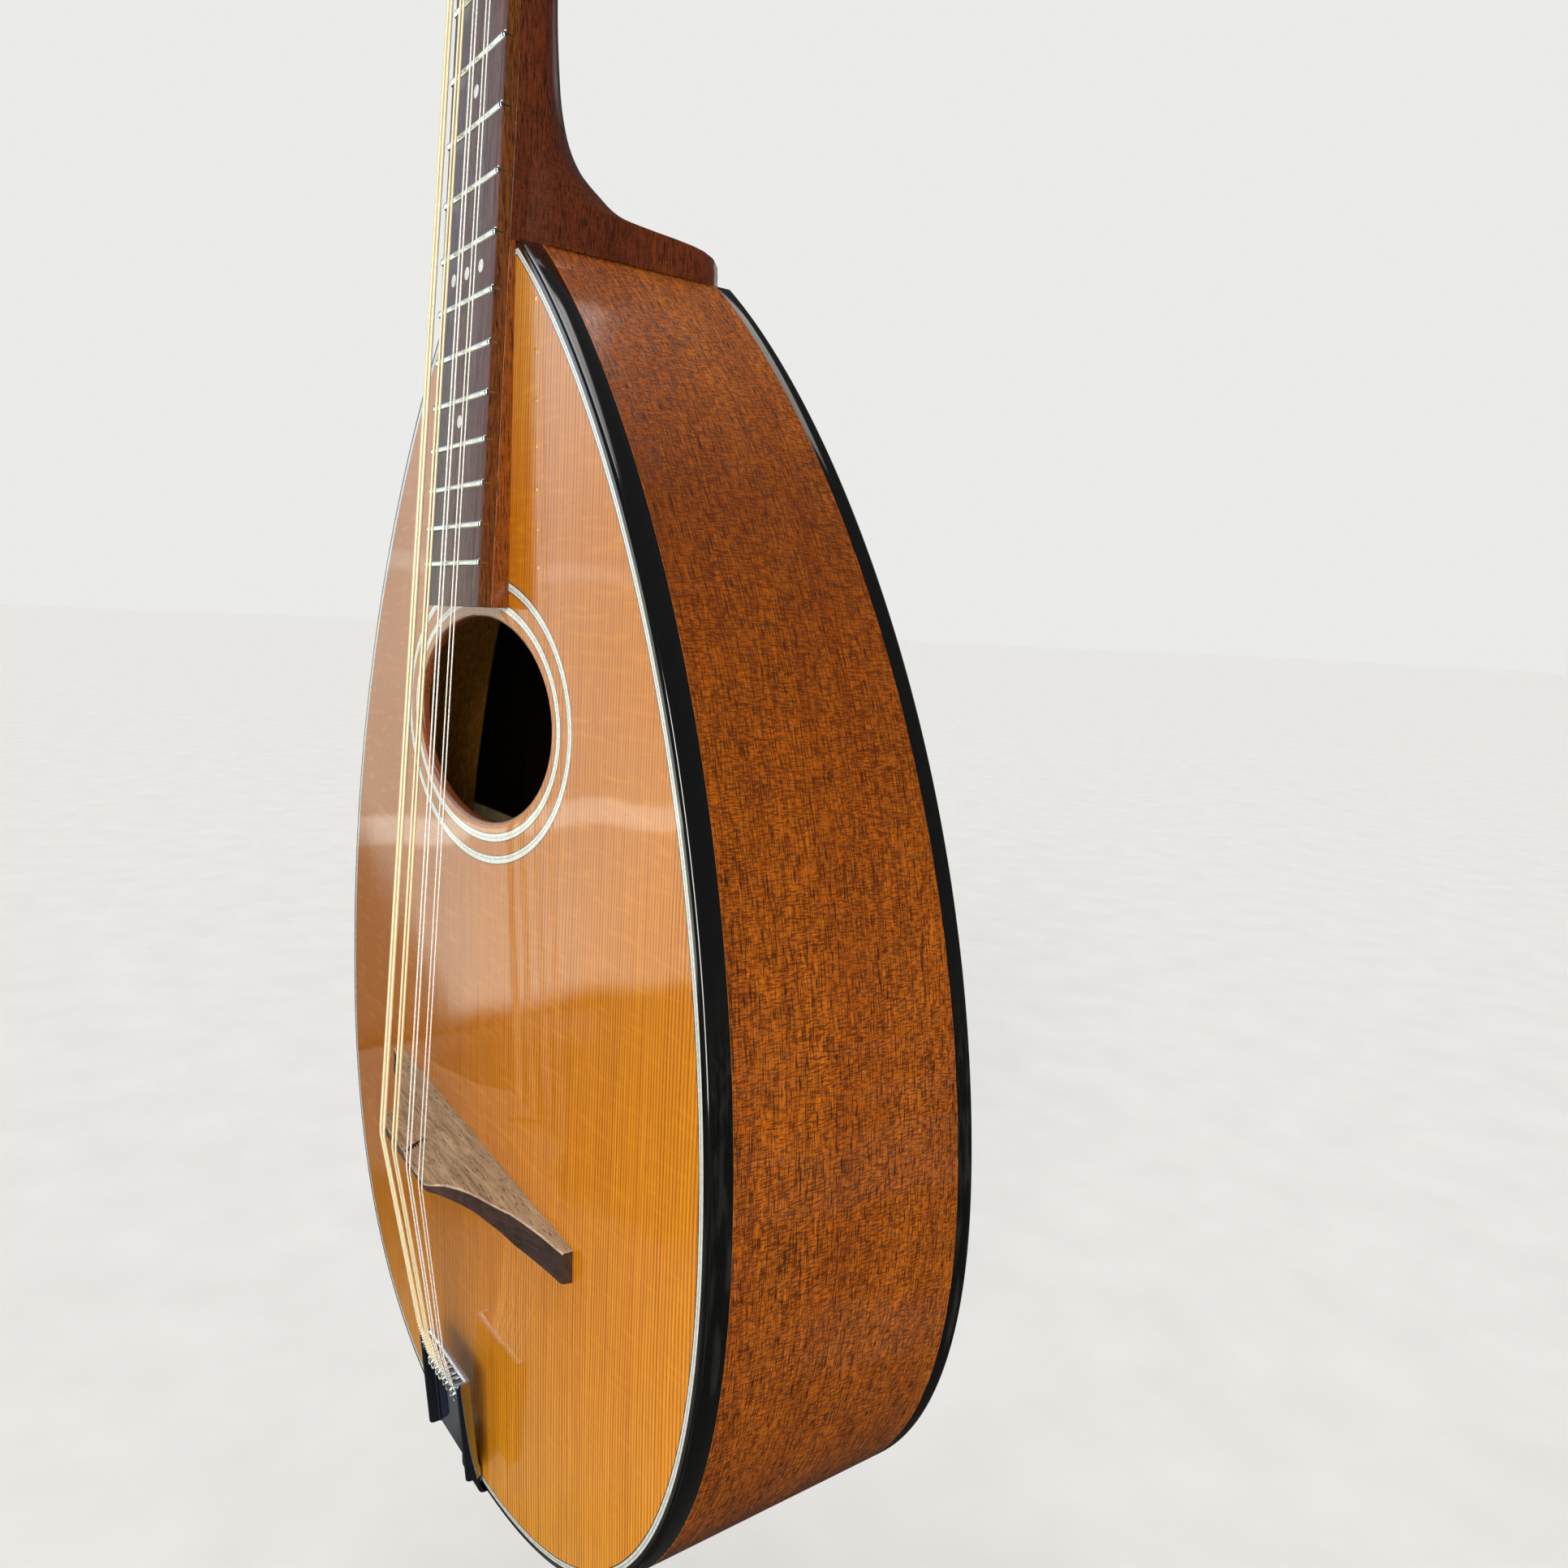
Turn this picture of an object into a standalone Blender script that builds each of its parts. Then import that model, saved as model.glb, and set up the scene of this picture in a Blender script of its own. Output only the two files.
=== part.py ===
"""Octave mandolin: a teardrop body with an oval sound hole, a bolted-on style
carved neck with a large heel, a floating bridge, a tailpiece and two plates
of four open geared tuners.

All dimensions are in millimetres in the "bridge frame" of the instrument:
  x  across, positive on the treble side
  y  depth, zero at the rim of the soundboard, positive towards the back
  z  along the neck, zero at the bridge saddle line, positive to the nut
They are moved so that the origin lies at the seat of a wall hanger, under the
shoulders of the headstock, and scaled to metres.  +Z points up the neck.
"""
import bpy
import bmesh
from math import sin, cos, tan, pi, sqrt, radians, atan2
from mathutils import Matrix, Vector

for old in list(bpy.data.objects):
    bpy.data.objects.remove(old, do_unlink=True)

# ------------------------------------------------------------ driving sizes
MM = 0.001
GAP = 0.3                 # joint line left between glued or touching pieces
SCALE_LENGTH = 560.0      # nut to saddle
FRETS = 18
SEAT_Y, SEAT_Z = 17.0, 572.0      # hanger seat, under the headstock shoulders

# body outline: two Bezier curves per half, from the tail to the neck joint
HALF_WIDTH, WIDEST_Z = 149.2, 20.3
TAIL_Z, SHOULDER_X, SHOULDER_Z = -132.5, 19.1, 299.7
SHOULDER_ANGLE, SHOULDER_PULL = 0.94, 58.95
JOINT_Z = 295.2           # flat where the heel is glued on
N_HALF = 24               # points on each half outline

TOP_T, BACK_T, SIDE_T = 3.0, 3.0, 2.0
DOME = 2.15               # rise of the soundboard in the middle
BACK_Y0, BACK_SLOPE = 94.6, -0.059        # the flat back tapers to the neck
BIND_T, BIND_TOP_H, BIND_BACK_H = 2.0, 7.5, 6.4
PURF_IN, PURF_OUT, PURF_H = 5.0, 2.3, 1.5
LINING_W, LINING_H = 6.0, 12.0

HOLE_Z, HOLE_A, HOLE_B = 147.3, 55.8, 33.9
RING_OFFSETS = (5.4, 12.7)                # centre lines, from the hole's edge
RING_W, RING_DEPTH = 2.8, 1.2

NECK_TILT = 0.0468        # slope of the fingerboard against the body
FRET_TOP_Y, FRET_REF_Z = -12.0, 198.0
FRET_H, BOARD_T = 1.0, 4.4
BOARD_END_Z, BOARD_HALF_18, BOARD_TAPER = 184.3, 23.5, 0.0098

HEAD_ANGLE = radians(16.7)
HEAD_Y, HEAD_Z = 8.5, 566.0               # start of the headstock's face
HEAD_T, VENEER_T, HEAD_L = 15.0, 1.7, 132.0

POST_U, POST_W0, POST_PITCH = 19.5, 30.0, 23.0
POST_R, POST_HOLE_R, POST_TOP = 3.0, 3.4, 12.0
GEAR_TEETH, WORM_R = 14, 1.8
GEAR_R = 4.34
WORM_PITCH = 2 * pi * GEAR_R / GEAR_TEETH
WORM_DROP = GEAR_R + WORM_R
PLATE_T, WORM_V = 1.2, -19.2

STRING_R = (0.58, 0.43, 0.28, 0.22)       # bass to treble
SADDLE_X = (-18.0, -5.8, 8.2, 19.8)
NUT_X = (-14.6, -4.9, 4.9, 14.6)
HOOK_X = (-10.8, -3.6, 3.6, 10.8)
PAIR_SADDLE, PAIR_NUT, PAIR_HOOK = 3.3, 2.6, 3.0
SADDLE_Y = -27.5


def W(x, y, z):
    """Bridge frame in mm to the part's frame in metres."""
    return Vector((x * MM, (y - SEAT_Y) * MM, (z - SEAT_Z) * MM))


# ------------------------------------------------------------ materials
def material(name, colour, rough, metal=0.0, coat=0.0):
    m = bpy.data.materials.new(name)
    m.use_nodes = True
    b = m.node_tree.nodes["Principled BSDF"]
    b.inputs["Base Color"].default_value = (*colour, 1.0)
    b.inputs["Roughness"].default_value = rough
    b.inputs["Metallic"].default_value = metal
    b.inputs["Coat Weight"].default_value = coat
    m.diffuse_color = (*colour, 1.0)
    return m


LOOKS = {
    "top_wood": ((0.56, 0.24, 0.055), 0.25, 0.0, 0.8),
    "side_wood": ((0.27, 0.095, 0.03), 0.3, 0.0, 0.8),
    "neck_wood": ((0.22, 0.07, 0.03), 0.3, 0.0, 0.6),
    "inner_wood": ((0.66, 0.47, 0.28), 0.7, 0.0, 0.0),
    "rosewood": ((0.10, 0.06, 0.05), 0.45, 0.0, 0.0),
    "bridge_wood": ((0.13, 0.09, 0.065), 0.5, 0.0, 0.0),
    "black_binding": ((0.01, 0.01, 0.01), 0.1, 0.0, 0.5),
    "white_line": ((0.8, 0.78, 0.7), 0.3, 0.0, 0.3),
    "bone": ((0.78, 0.74, 0.62), 0.4, 0.0, 0.0),
    "chrome": ((0.8, 0.8, 0.82), 0.08, 1.0, 0.0),
    "nickel": ((0.68, 0.66, 0.62), 0.25, 1.0, 0.0),
    "steel_rod": ((0.35, 0.35, 0.36), 0.4, 1.0, 0.0),
    "bronze_string": ((0.72, 0.5, 0.27), 0.3, 1.0, 0.0),
    "plain_string": ((0.75, 0.75, 0.75), 0.2, 1.0, 0.0),
    "button": ((0.8, 0.77, 0.68), 0.3, 0.0, 0.3),
}


def obj(name, verts, faces, look, smooth=False, place=None):
    """One closed solid; verts are world metres unless it has a placement."""
    me = bpy.data.meshes.new(name)
    me.from_pydata([tuple(v) for v in verts], [], faces)
    bm = bmesh.new()
    bm.from_mesh(me)
    bmesh.ops.remove_doubles(bm, verts=bm.verts, dist=1e-7)
    bmesh.ops.recalc_face_normals(bm, faces=bm.faces)
    bm.to_mesh(me)
    bm.free()
    me.update()
    if smooth:
        me.shade_smooth()
        me.set_sharp_from_angle(angle=radians(35))
    o = bpy.data.objects.new(name, me)
    bpy.context.scene.collection.objects.link(o)
    me.materials.append(material(name, *LOOKS[look]))
    if place is not None:
        o.matrix_world = place
    return o


def cutter(name, verts, faces):
    o = obj(name, verts, faces, "inner_wood")
    o.hide_render = True
    o.display_type = 'WIRE'
    return o


def boolean(target, tool, kind='DIFFERENCE'):
    m = target.modifiers.new(tool.name, 'BOOLEAN')
    m.operation = kind
    m.solver = 'EXACT'
    m.object = tool


def loft(sections, closed_ring=False):
    """Quads between equal loops; the two ends are closed by one face each,
    or the last loop joins the first."""
    n = len(sections[0])
    verts = [v for s in sections for v in s]
    faces = []
    m = len(sections)
    for i in range(m if closed_ring else m - 1):
        a, b = i * n, ((i + 1) % m) * n
        for j in range(n):
            k = (j + 1) % n
            faces.append((a + j, a + k, b + k, b + j))
    if not closed_ring:
        faces.append(tuple(range(n - 1, -1, -1)))
        faces.append(tuple((m - 1) * n + j for j in range(n)))
    return verts, faces


def merge(*shapes):
    verts, faces = [], []
    for v, f in shapes:
        k = len(verts)
        verts += list(v)
        faces += [tuple(i + k for i in g) for g in f]
    return verts, faces


def box(x0, x1, y0, y1, z0, z1, put=W):
    return loft([[put(x0, y0, z), put(x1, y0, z), put(x1, y1, z), put(x0, y1, z)]
                 for z in (z0, z1)])


def rod(centre, axis, radius, length, sides=16, both=False):
    """Cylinder from centre along a unit axis, in metres."""
    a = Vector(axis).normalized()
    e1 = a.orthogonal().normalized()
    e2 = a.cross(e1)
    start = Vector(centre) - (a * length if both else Vector((0, 0, 0)))
    end = Vector(centre) + a * length
    return loft([[p + (e1 * cos(2 * pi * k / sides) + e2 * sin(2 * pi * k / sides)) * radius
                  for k in range(sides)] for p in (start, end)])


# ------------------------------------------------------------ outline
def bez(p, t):
    s = 1 - t
    return tuple(s ** 3 * p[0][i] + 3 * s * s * t * p[1][i]
                 + 3 * s * t * t * p[2][i] + t ** 3 * p[3][i] for i in (0, 1))


LOWER = ((0, TAIL_Z), (98.0, TAIL_Z), (HALF_WIDTH, -75.9), (HALF_WIDTH, WIDEST_Z))
UPPER = ((HALF_WIDTH, WIDEST_Z), (HALF_WIDTH, 165.8),
         (SHOULDER_X + SHOULDER_PULL * sin(SHOULDER_ANGLE),
          SHOULDER_Z - SHOULDER_PULL * cos(SHOULDER_ANGLE)), (SHOULDER_X, SHOULDER_Z))
FINE = [bez(LOWER, k / 400) for k in range(400)] + [bez(UPPER, k / 400) for k in range(401)]


def normal_at(k):
    a, b = FINE[max(k - 1, 0)], FINE[min(k + 1, len(FINE) - 1)]
    dx, dz = b[0] - a[0], b[1] - a[1]
    n = sqrt(dx * dx + dz * dz)
    if k == 0:
        return (0.0, -1.0)
    return (dz / n, -dx / n)


def base_indices():
    length, acc = 0.0, [0.0]
    for a, b in zip(FINE, FINE[1:]):
        length += sqrt((a[0] - b[0]) ** 2 + (a[1] - b[1]) ** 2)
        acc.append(length)
    last = max(k for k, p in enumerate(FINE) if p[1] <= JOINT_Z)
    total = acc[last]
    out = []
    for j in range(N_HALF):
        want = total * j / N_HALF
        out.append(min(range(last + 1), key=lambda k: abs(acc[k] - want)))
    return out


BASE = base_indices()


def half(inset):
    """Treble half outline (x, z), from the tail to the joint's flat."""
    pts = []
    for k in BASE:
        n = normal_at(k)
        pts.append((FINE[k][0] - inset * n[0], FINE[k][1] - inset * n[1]))
    best = None
    for k, p in enumerate(FINE):
        n = normal_at(k)
        q = (p[0] - inset * n[0], p[1] - inset * n[1])
        if p[1] > 150 and (best is None or abs(q[1] - (JOINT_Z - inset)) < abs(best[1] - (JOINT_Z - inset))):
            best = q
    pts.append((best[0], JOINT_Z - inset))
    return pts


def loop(inset):
    h = half(inset)
    return h + [(-x, z) for x, z in reversed(h[1:])]


CENTRE = (0.0, 50.0)
RIM = half(0.0)


def rim_radius(x, z):
    """Distance from the dome's centre to the rim, along the ray through x, z."""
    px, pz = abs(x) - CENTRE[0], z - CENTRE[1]
    best, ang = 1e9, atan2(px, pz)
    prev = None
    for qx, qz in [(0.0, JOINT_Z)] + RIM[::-1]:
        a = atan2(qx - CENTRE[0], qz - CENTRE[1])
        r = sqrt((qx - CENTRE[0]) ** 2 + (qz - CENTRE[1]) ** 2)
        if prev is not None and prev[0] <= ang <= a:
            t = (ang - prev[0]) / max(a - prev[0], 1e-9)
            return prev[1] + t * (r - prev[1])
        prev = (a, r)
    return prev[1]


def dome(x, z):
    r = sqrt(x * x + (z - CENTRE[1]) ** 2)
    if r < 1e-6:
        return -DOME
    return -DOME * max(0.0, 1 - (r / rim_radius(x, z)) ** 2)


def back(z):
    return BACK_Y0 + BACK_SLOPE * z


def ring(outer, inner, y0, y1):
    """A frame between two outlines, from y0(x,z) down to y1(x,z)."""
    a, b = loop(outer), loop(inner)
    secs = []
    for (xo, zo), (xi, zi) in zip(a, b):
        secs.append([W(xo, y0(xo, zo), zo), W(xo, y1(xo, zo), zo),
                     W(xi, y1(xi, zi), zi), W(xi, y0(xi, zi), zi)])
    return loft(secs, closed_ring=True)


def strip(outer, inner, y0, y1, sign, start_x, end_x, at_joint):
    """An open bent strip along one half of the rim."""
    a, b = half(outer), half(inner)
    pairs = [(p, q) for p, q in zip(a, b) if q[0] > start_x + 1 and (at_joint or q[0] > end_x)]
    z_a, z_b = TAIL_Z + outer, TAIL_Z + inner
    first = pairs[0]
    t = start_x / first[1][0]
    pairs.insert(0, ((start_x, z_a + (first[0][1] - z_a) * t * t), (start_x, z_b + (first[1][1] - z_b) * t * t)))
    if at_joint:
        pairs.append(((end_x, JOINT_Z - outer), (end_x, JOINT_Z - inner)))
    secs = []
    for (xo, zo), (xi, zi) in pairs:
        secs.append([W(sign * xo, y0(xo, zo), zo), W(sign * xo, y1(xo, zo), zo),
                     W(sign * xi, y1(xi, zi), zi), W(sign * xi, y0(xi, zi), zi)])
    return loft(secs)


# ------------------------------------------------------------ body
const = lambda c: (lambda x, z: c)
back_at = lambda d: (lambda x, z: back(z) - d)

obj("binding_top", *ring(0, BIND_T, const(0.0), const(BIND_TOP_H)), "black_binding")
obj("binding_back", *ring(0, BIND_T, back_at(BIND_BACK_H), back_at(0)), "black_binding")
obj("purfling", *ring(PURF_OUT, PURF_IN, const(0.0), const(PURF_H)), "white_line")

WEDGE = 8.0
for side, sign in (("treble", 1), ("bass", -1)):
    obj("side_" + side, *strip(0, SIDE_T, const(BIND_TOP_H + GAP), back_at(BIND_BACK_H + GAP),
                               sign, WEDGE + GAP, 0.2, True), "side_wood")
    obj("lining_top_" + side, *strip(SIDE_T + GAP, SIDE_T + GAP + LINING_W, const(TOP_T + GAP),
                                     const(TOP_T + GAP + LINING_H), sign, 24.6, 26.0, False), "inner_wood")
    obj("lining_back_" + side, *strip(SIDE_T + GAP, SIDE_T + GAP + LINING_W,
                                      back_at(BACK_T + GAP + LINING_H), back_at(BACK_T + GAP),
                                      sign, 24.6, 26.0, False), "inner_wood")

# the back is a flat plate inside its binding
h = loop(BIND_T + GAP)
obj("back_plate", *loft([[W(x, back(z) - d, z) for x, z in h] for d in (BACK_T, 0.0)]), "side_wood")

# soundboard: loops from the oval hole out to the purfling, with two channels
edge = loop(PURF_IN + GAP)
angles = [atan2(x, z - HOLE_Z) for x, z in edge]


def oval(off, ang):
    a, b = HOLE_A + off, HOLE_B + off
    r = a * b / sqrt((b * sin(ang)) ** 2 + (a * cos(ang)) ** 2)
    return (r * sin(ang), HOLE_Z + r * cos(ang))


def top_loop(pts, drop):
    return [W(x, dome(x, z) + drop, z) for x, z in pts]


def blend_loop(t):
    out = []
    for ang, (ex, ez) in zip(angles, edge):
        ox, oz = oval(RING_OFFSETS[1] + 4, ang)
        out.append((ox + (ex - ox) * t, oz + (ez - oz) * t))
    return out


loops = [top_loop([oval(0, a) for a in angles], 0)]
for off in RING_OFFSETS:
    lo, hi = off - RING_W / 2 - GAP, off + RING_W / 2 + GAP
    loops += [top_loop([oval(lo, a) for a in angles], 0), top_loop([oval(lo, a) for a in angles], RING_DEPTH + GAP),
              top_loop([oval(hi, a) for a in angles], RING_DEPTH + GAP), top_loop([oval(hi, a) for a in angles], 0)]
loops += [top_loop(blend_loop(0.4), 0), top_loop(edge, 0), top_loop(edge, TOP_T),
          top_loop(blend_loop(0.4), TOP_T), top_loop([oval(0, a) for a in angles], TOP_T)]
obj("soundboard", *loft(loops, closed_ring=True), "top_wood")

for name, off in zip(("rosette_inner", "rosette_outer"), RING_OFFSETS):
    lo, hi = off - RING_W / 2, off + RING_W / 2
    obj(name, *loft([top_loop([oval(lo, a) for a in angles], 0), top_loop([oval(hi, a) for a in angles], 0),
                     top_loop([oval(hi, a) for a in angles], RING_DEPTH),
                     top_loop([oval(lo, a) for a in angles], RING_DEPTH)], closed_ring=True), "white_line")

# blocks inside the two ends
obj("neck_block", *loft([[W(x, y0, z) for x, y0 in ((-23.5, TOP_T + GAP), (23.5, TOP_T + GAP),
                                                   (23.5, back(z) - BACK_T - GAP), (-23.5, back(z) - BACK_T - GAP))]
                         for z in (243.0, JOINT_Z - SIDE_T - GAP)]), "inner_wood")
tail_block = obj("tail_block", *loft([[W(x, y0, z) for x, y0 in ((-23.5, TOP_T + GAP), (23.5, TOP_T + GAP),
                                                                (23.5, back(z) - BACK_T - GAP), (-23.5, back(z) - BACK_T - GAP))]
                                      for z in (-128.8, -106.0)]), "inner_wood")
tail_wedge = obj("tail_wedge", *loft([[W(x, BIND_TOP_H + GAP, z), W(x, back(z) - BIND_BACK_H - GAP, z),
                                       W(x, back(z2) - BIND_BACK_H - GAP, z2), W(x, BIND_TOP_H + GAP, z2)]
                                      for x, z, z2 in ((-WEDGE, TAIL_Z + 0.16, TAIL_Z + SIDE_T + 0.16),
                                                       (0, TAIL_Z, TAIL_Z + SIDE_T),
                                                       (WEDGE, TAIL_Z + 0.16, TAIL_Z + SIDE_T + 0.16))]), "black_binding")


# braces under the soundboard and on the back: bars with a rounded crest
def brace(name, z0, length, width, height, base, tilt=0.0, x_mid=0.0, along=False, n=6):
    """base(x, z) is the surface that it is glued to; height is signed."""
    secs = []
    for k in range(n + 1):
        s = -1 + 2 * k / n
        low = 0.35 if abs(s) > 0.99 else 1.0
        if along:
            x, z = x_mid + tilt * s * length / 2, z0 + s * length / 2
            e = [(x - width / 2, z), (x + width / 2, z)]
        else:
            x, z = s * length / 2, z0
            e = [(x, z - width / 2), (x, z + width / 2)]
        (xa, za), (xb, zb) = e
        hgt = height * low
        xm, zm = (xa + xb) / 2, (za + zb) / 2
        secs.append([W(xa, base(xa, za), za), W(xb, base(xb, zb), zb),
                     W(xb * 0.5 + xm * 0.5, base(xb, zb) + hgt, zb * 0.5 + zm * 0.5),
                     W(xa * 0.5 + xm * 0.5, base(xa, za) + hgt, za * 0.5 + zm * 0.5)])
    obj(name, *loft(secs), "inner_wood")


under = lambda x, z: dome(x, z) + TOP_T + GAP
inner_back = lambda x, z: back(z) - BACK_T - GAP
brace("brace_top_upper", 197.0, 180.0, 8.0, 14.0, under)
brace("brace_top_lower", 98.0, 250.0, 9.0, 16.0, under)
brace("tone_bar_bass", 0.0, 150.0, 8.0, 12.0, under, -0.35, -42.0, True)
brace("tone_bar_treble", 0.0, 150.0, 8.0, 12.0, under, 0.35, 42.0, True)
brace("brace_back_upper", 190.0, 180.0, 8.0, -12.0, inner_back)
brace("brace_back_middle", 75.0, 260.0, 9.0, -13.0, inner_back)
brace("brace_back_lower", -40.0, 240.0, 9.0, -13.0, inner_back)


# ------------------------------------------------------------ neck
def fret_top(z):
    return FRET_TOP_Y + NECK_TILT * (z - FRET_REF_Z)


def board_y(z):
    return fret_top(z) + FRET_H


def board_half(z):
    return BOARD_HALF_18 - BOARD_TAPER * (z - FRET_REF_Z)


def neck_top(z):
    return board_y(z) + BOARD_T + GAP


def table(rows, z):
    """Smooth reading of a row of (z, value) stations."""
    if z <= rows[0][0]:
        return rows[0][1]
    for (z0, a), (z1, b) in zip(rows, rows[1:]):
        if z <= z1:
            t = (z - z0) / (z1 - z0)
            return a + (b - a) * t
    return rows[-1][1]


HEEL_BACK = ((295.5, 77.3), (301.5, 77.3), (304.6, 76.4), (306.3, 72.5), (307.0, 66.0), (308.0, 54.5),
             (310.2, 44.0), (316.0, 35.5), (322.8, 28.7), (330.0, 24.9), (345.0, 21.1),
             (374.0, 19.0), (420.0, 20.9), (480.0, 23.4), (545.0, 26.2), (562.0, 26.7), (582.0, 27.2))
HEEL_HALF = ((295.5, 25.3), (306.0, 25.0), (318.0, 23.8), (332.0, 22.6), (345.0, 22.0))
STATIONS = [r[0] for r in HEEL_BACK]


def neck_section(z):
    w = table(HEEL_HALF, z) if z < 345 else board_half(z)
    yt = neck_top(z) if z <= 560 else HEAD_Y + (z - HEAD_Z) * tan(HEAD_ANGLE) + 3.0
    if z >= 562:
        yt = max(yt, neck_top(560) + 0.6)
        w = board_half(560) - 0.2
    yb = table(HEEL_BACK, z)
    heel = max(0.0, min(1.0, (yb - 24.0) / 30.0))
    straight = yt + 2.5 + heel * max(0.0, yb - yt - 18.0)
    power = 2.0 + 1.6 * heel
    narrow = 1.0 - 0.10 * heel * heel
    side = [(w, yt), (w, yt + (straight - yt) * 0.5)]
    for k in range(7):
        a = pi / 2 * k / 6
        c, s = cos(a), sin(a)
        f = 1 - (1 - narrow) * s
        side.append((w * f * c ** (2 / power) if c > 1e-6 else 0.0, straight + (yb - straight) * s ** (2 / power)))
    pts = side + [(-x, y) for x, y in reversed(side[:-1])]
    return [W(x, y, z) for x, y in pts]


shaft = loft([neck_section(z) for z in STATIONS])


def head_put(u, v, w):
    """Headstock frame: u across, v out of the face, w up the face."""
    return W(u, HEAD_Y + w * sin(HEAD_ANGLE) - v * cos(HEAD_ANGLE),
             HEAD_Z + w * cos(HEAD_ANGLE) + v * sin(HEAD_ANGLE))


def head_outline(shrink=0.0, start=-0.2):
    half_pts = [(19.5, start), (19.6, 1.0), (21.5, 6.0), (25.8, 12.0), (27.6, 18.0), (28.4, 60.0),
                (29.6, 112.0), (27.5, 121.0), (19.0, 127.5), (8.0, 131.3), (0.0, HEAD_L)]
    half_pts = [(u - shrink if u > 1 else u, w if w <= start + 0.1 else w - shrink * (1 if w > 112 else 0))
                for u, w in half_pts]
    return half_pts + [(-u, w) for u, w in reversed(half_pts[:-1])]


head = loft([[head_put(u, v, w) for u, w in head_outline()] for v in (-HEAD_T, -VENEER_T - GAP)])
head_tool = cutter("head_shape", *head)
neck = obj("neck", *shaft, "neck_wood", smooth=True)
boolean(neck, head_tool, 'UNION')

veneer = obj("head_veneer", *loft([[head_put(u, v, w) for u, w in head_outline(0.0, 0.6)]
                                   for v in (-VENEER_T, 0.0)]), "rosewood")

# holes of the eight posts, and the channel of the truss rod
POSTS = [("bass", i, -POST_U, POST_W0 + POST_PITCH * i) for i in range(4)] + \
        [("treble", i, POST_U, POST_W0 + POST_PITCH * i) for i in range(4)]
up_v = head_put(0, 1, 0) - head_put(0, 0, 0)
holes = merge(*[rod(head_put(u, -22.0, w), up_v, POST_HOLE_R * MM, 26 * MM, 14) for _, _, u, w in POSTS])
hole_tool = cutter("post_holes", *holes)
slot_tool = cutter("rod_slot", *loft([[W(x, y, z) for x, y in ((-3.3, neck_top(z) - 8), (3.3, neck_top(z) - 8),
                                                              (3.3, neck_top(z) + 9.4), (-3.3, neck_top(z) + 9.4))]
                                      for z in (303.0, 577.0)]))
boolean(neck, hole_tool)
boolean(neck, slot_tool)
boolean(veneer, hole_tool)
pocket = cutter("rod_pocket", *loft([[head_put(u, v, w) for u, w in ((-3.3, -3.0), (3.3, -3.0), (3.3, 13.5), (-3.3, 13.5))]
                                     for v in (-6.0, 4.0)]))
boolean(veneer, pocket)
obj("truss_rod", *loft([[W(x, y, z) for x, y in ((-2.9, neck_top(z) + 0.6), (2.9, neck_top(z) + 0.6),
                                                (2.9, neck_top(z) + 9.0), (-2.9, neck_top(z) + 9.0))]
                        for z in (304.0, 558.0)]), "steel_rod")
cover = [(-7.5, 2.5), (7.5, 2.5), (8.5, 8.0), (6.0, 22.0), (0.0, 31.0), (-6.0, 22.0), (-8.5, 8.0)]
obj("truss_rod_cover", *loft([[head_put(u, v, w) for u, w in cover] for v in (GAP, 1.9)]), "black_binding")

# fingerboard with its frets: one side profile, extruded across the taper
NUT_GAP = 0.3
profile = [(board_y(BOARD_END_Z) + BOARD_T, BOARD_END_Z), (board_y(BOARD_END_Z), BOARD_END_Z)]
for n in range(FRETS, 0, -1):
    z = SCALE_LENGTH * 2 ** (-n / 12)
    for dz, dy in ((-1.2, 0), (-0.6, -FRET_H), (0.6, -FRET_H), (1.2, 0)):
        profile.append((board_y(z + dz) + dy, z + dz))
profile += [(board_y(SCALE_LENGTH), SCALE_LENGTH), (board_y(SCALE_LENGTH) + BOARD_T, SCALE_LENGTH)]
obj("fingerboard", *loft([[W(s * board_half(z), y, z) for y, z in profile] for s in (-1, 1)]), "rosewood")

# wedge that carries the end of the fingerboard over the soundboard
cuts = [BOARD_END_Z + 0.1 + (JOINT_Z - 0.4 - BOARD_END_Z) * k / 4 for k in range(5)]
secs = []
for z in cuts:
    w, yt = board_half(z), board_y(z) + BOARD_T + GAP
    secs.append([W(x, yt, z) for x in (-w, 0, w)] + [W(x, max(dome(x, z) - GAP, yt + 0.3), z) for x in (w, 0, -w)])
obj("fingerboard_riser", *loft(secs), "neck_wood")

nut_w = board_half(560) - 0.1
obj("nut", *loft([[W(x, y, z) for y, z in ((10.2, 560.3), (5.2, 560.3), (4.65, 561.0), (5.0, 564.9), (10.2, 564.9))]
                  for x in (-nut_w, nut_w)]), "bone")

# ------------------------------------------------------------ bridge
BR_SLOPE = -0.086         # the bridge stands a little askew


def bridge_front(x):
    return 0.9 + BR_SLOPE * x


BR_TOP = ((0.0, -27.2), (22.5, -27.2), (26.0, -24.0), (29.0, -21.0), (35.7, -16.8), (44.7, -13.3),
          (53.3, -9.9), (66.0, -6.9), (78.0, -4.9))
BR_DEPTH = ((0.0, 3.5), (24.0, 3.5), (29.0, 5.0), (38.0, 6.4), (47.0, 8.0), (55.0, 10.0), (78.0, 10.5))
secs = []
stations = sorted({s * r[0] for r in BR_TOP for s in (-1, 1)})
for x in stations:
    zf, top_y, dep = bridge_front(x), table(BR_TOP, abs(x)), table(BR_DEPTH, abs(x))
    base_d = max(dep, 11.0)
    secs.append([W(x, dome(x, zf) - GAP, zf), W(x, top_y, zf), W(x, top_y, zf - dep),
                 W(x, dome(x, zf - base_d) - GAP, zf - base_d)])
obj("bridge", *loft(secs), "bridge_wood")

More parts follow.
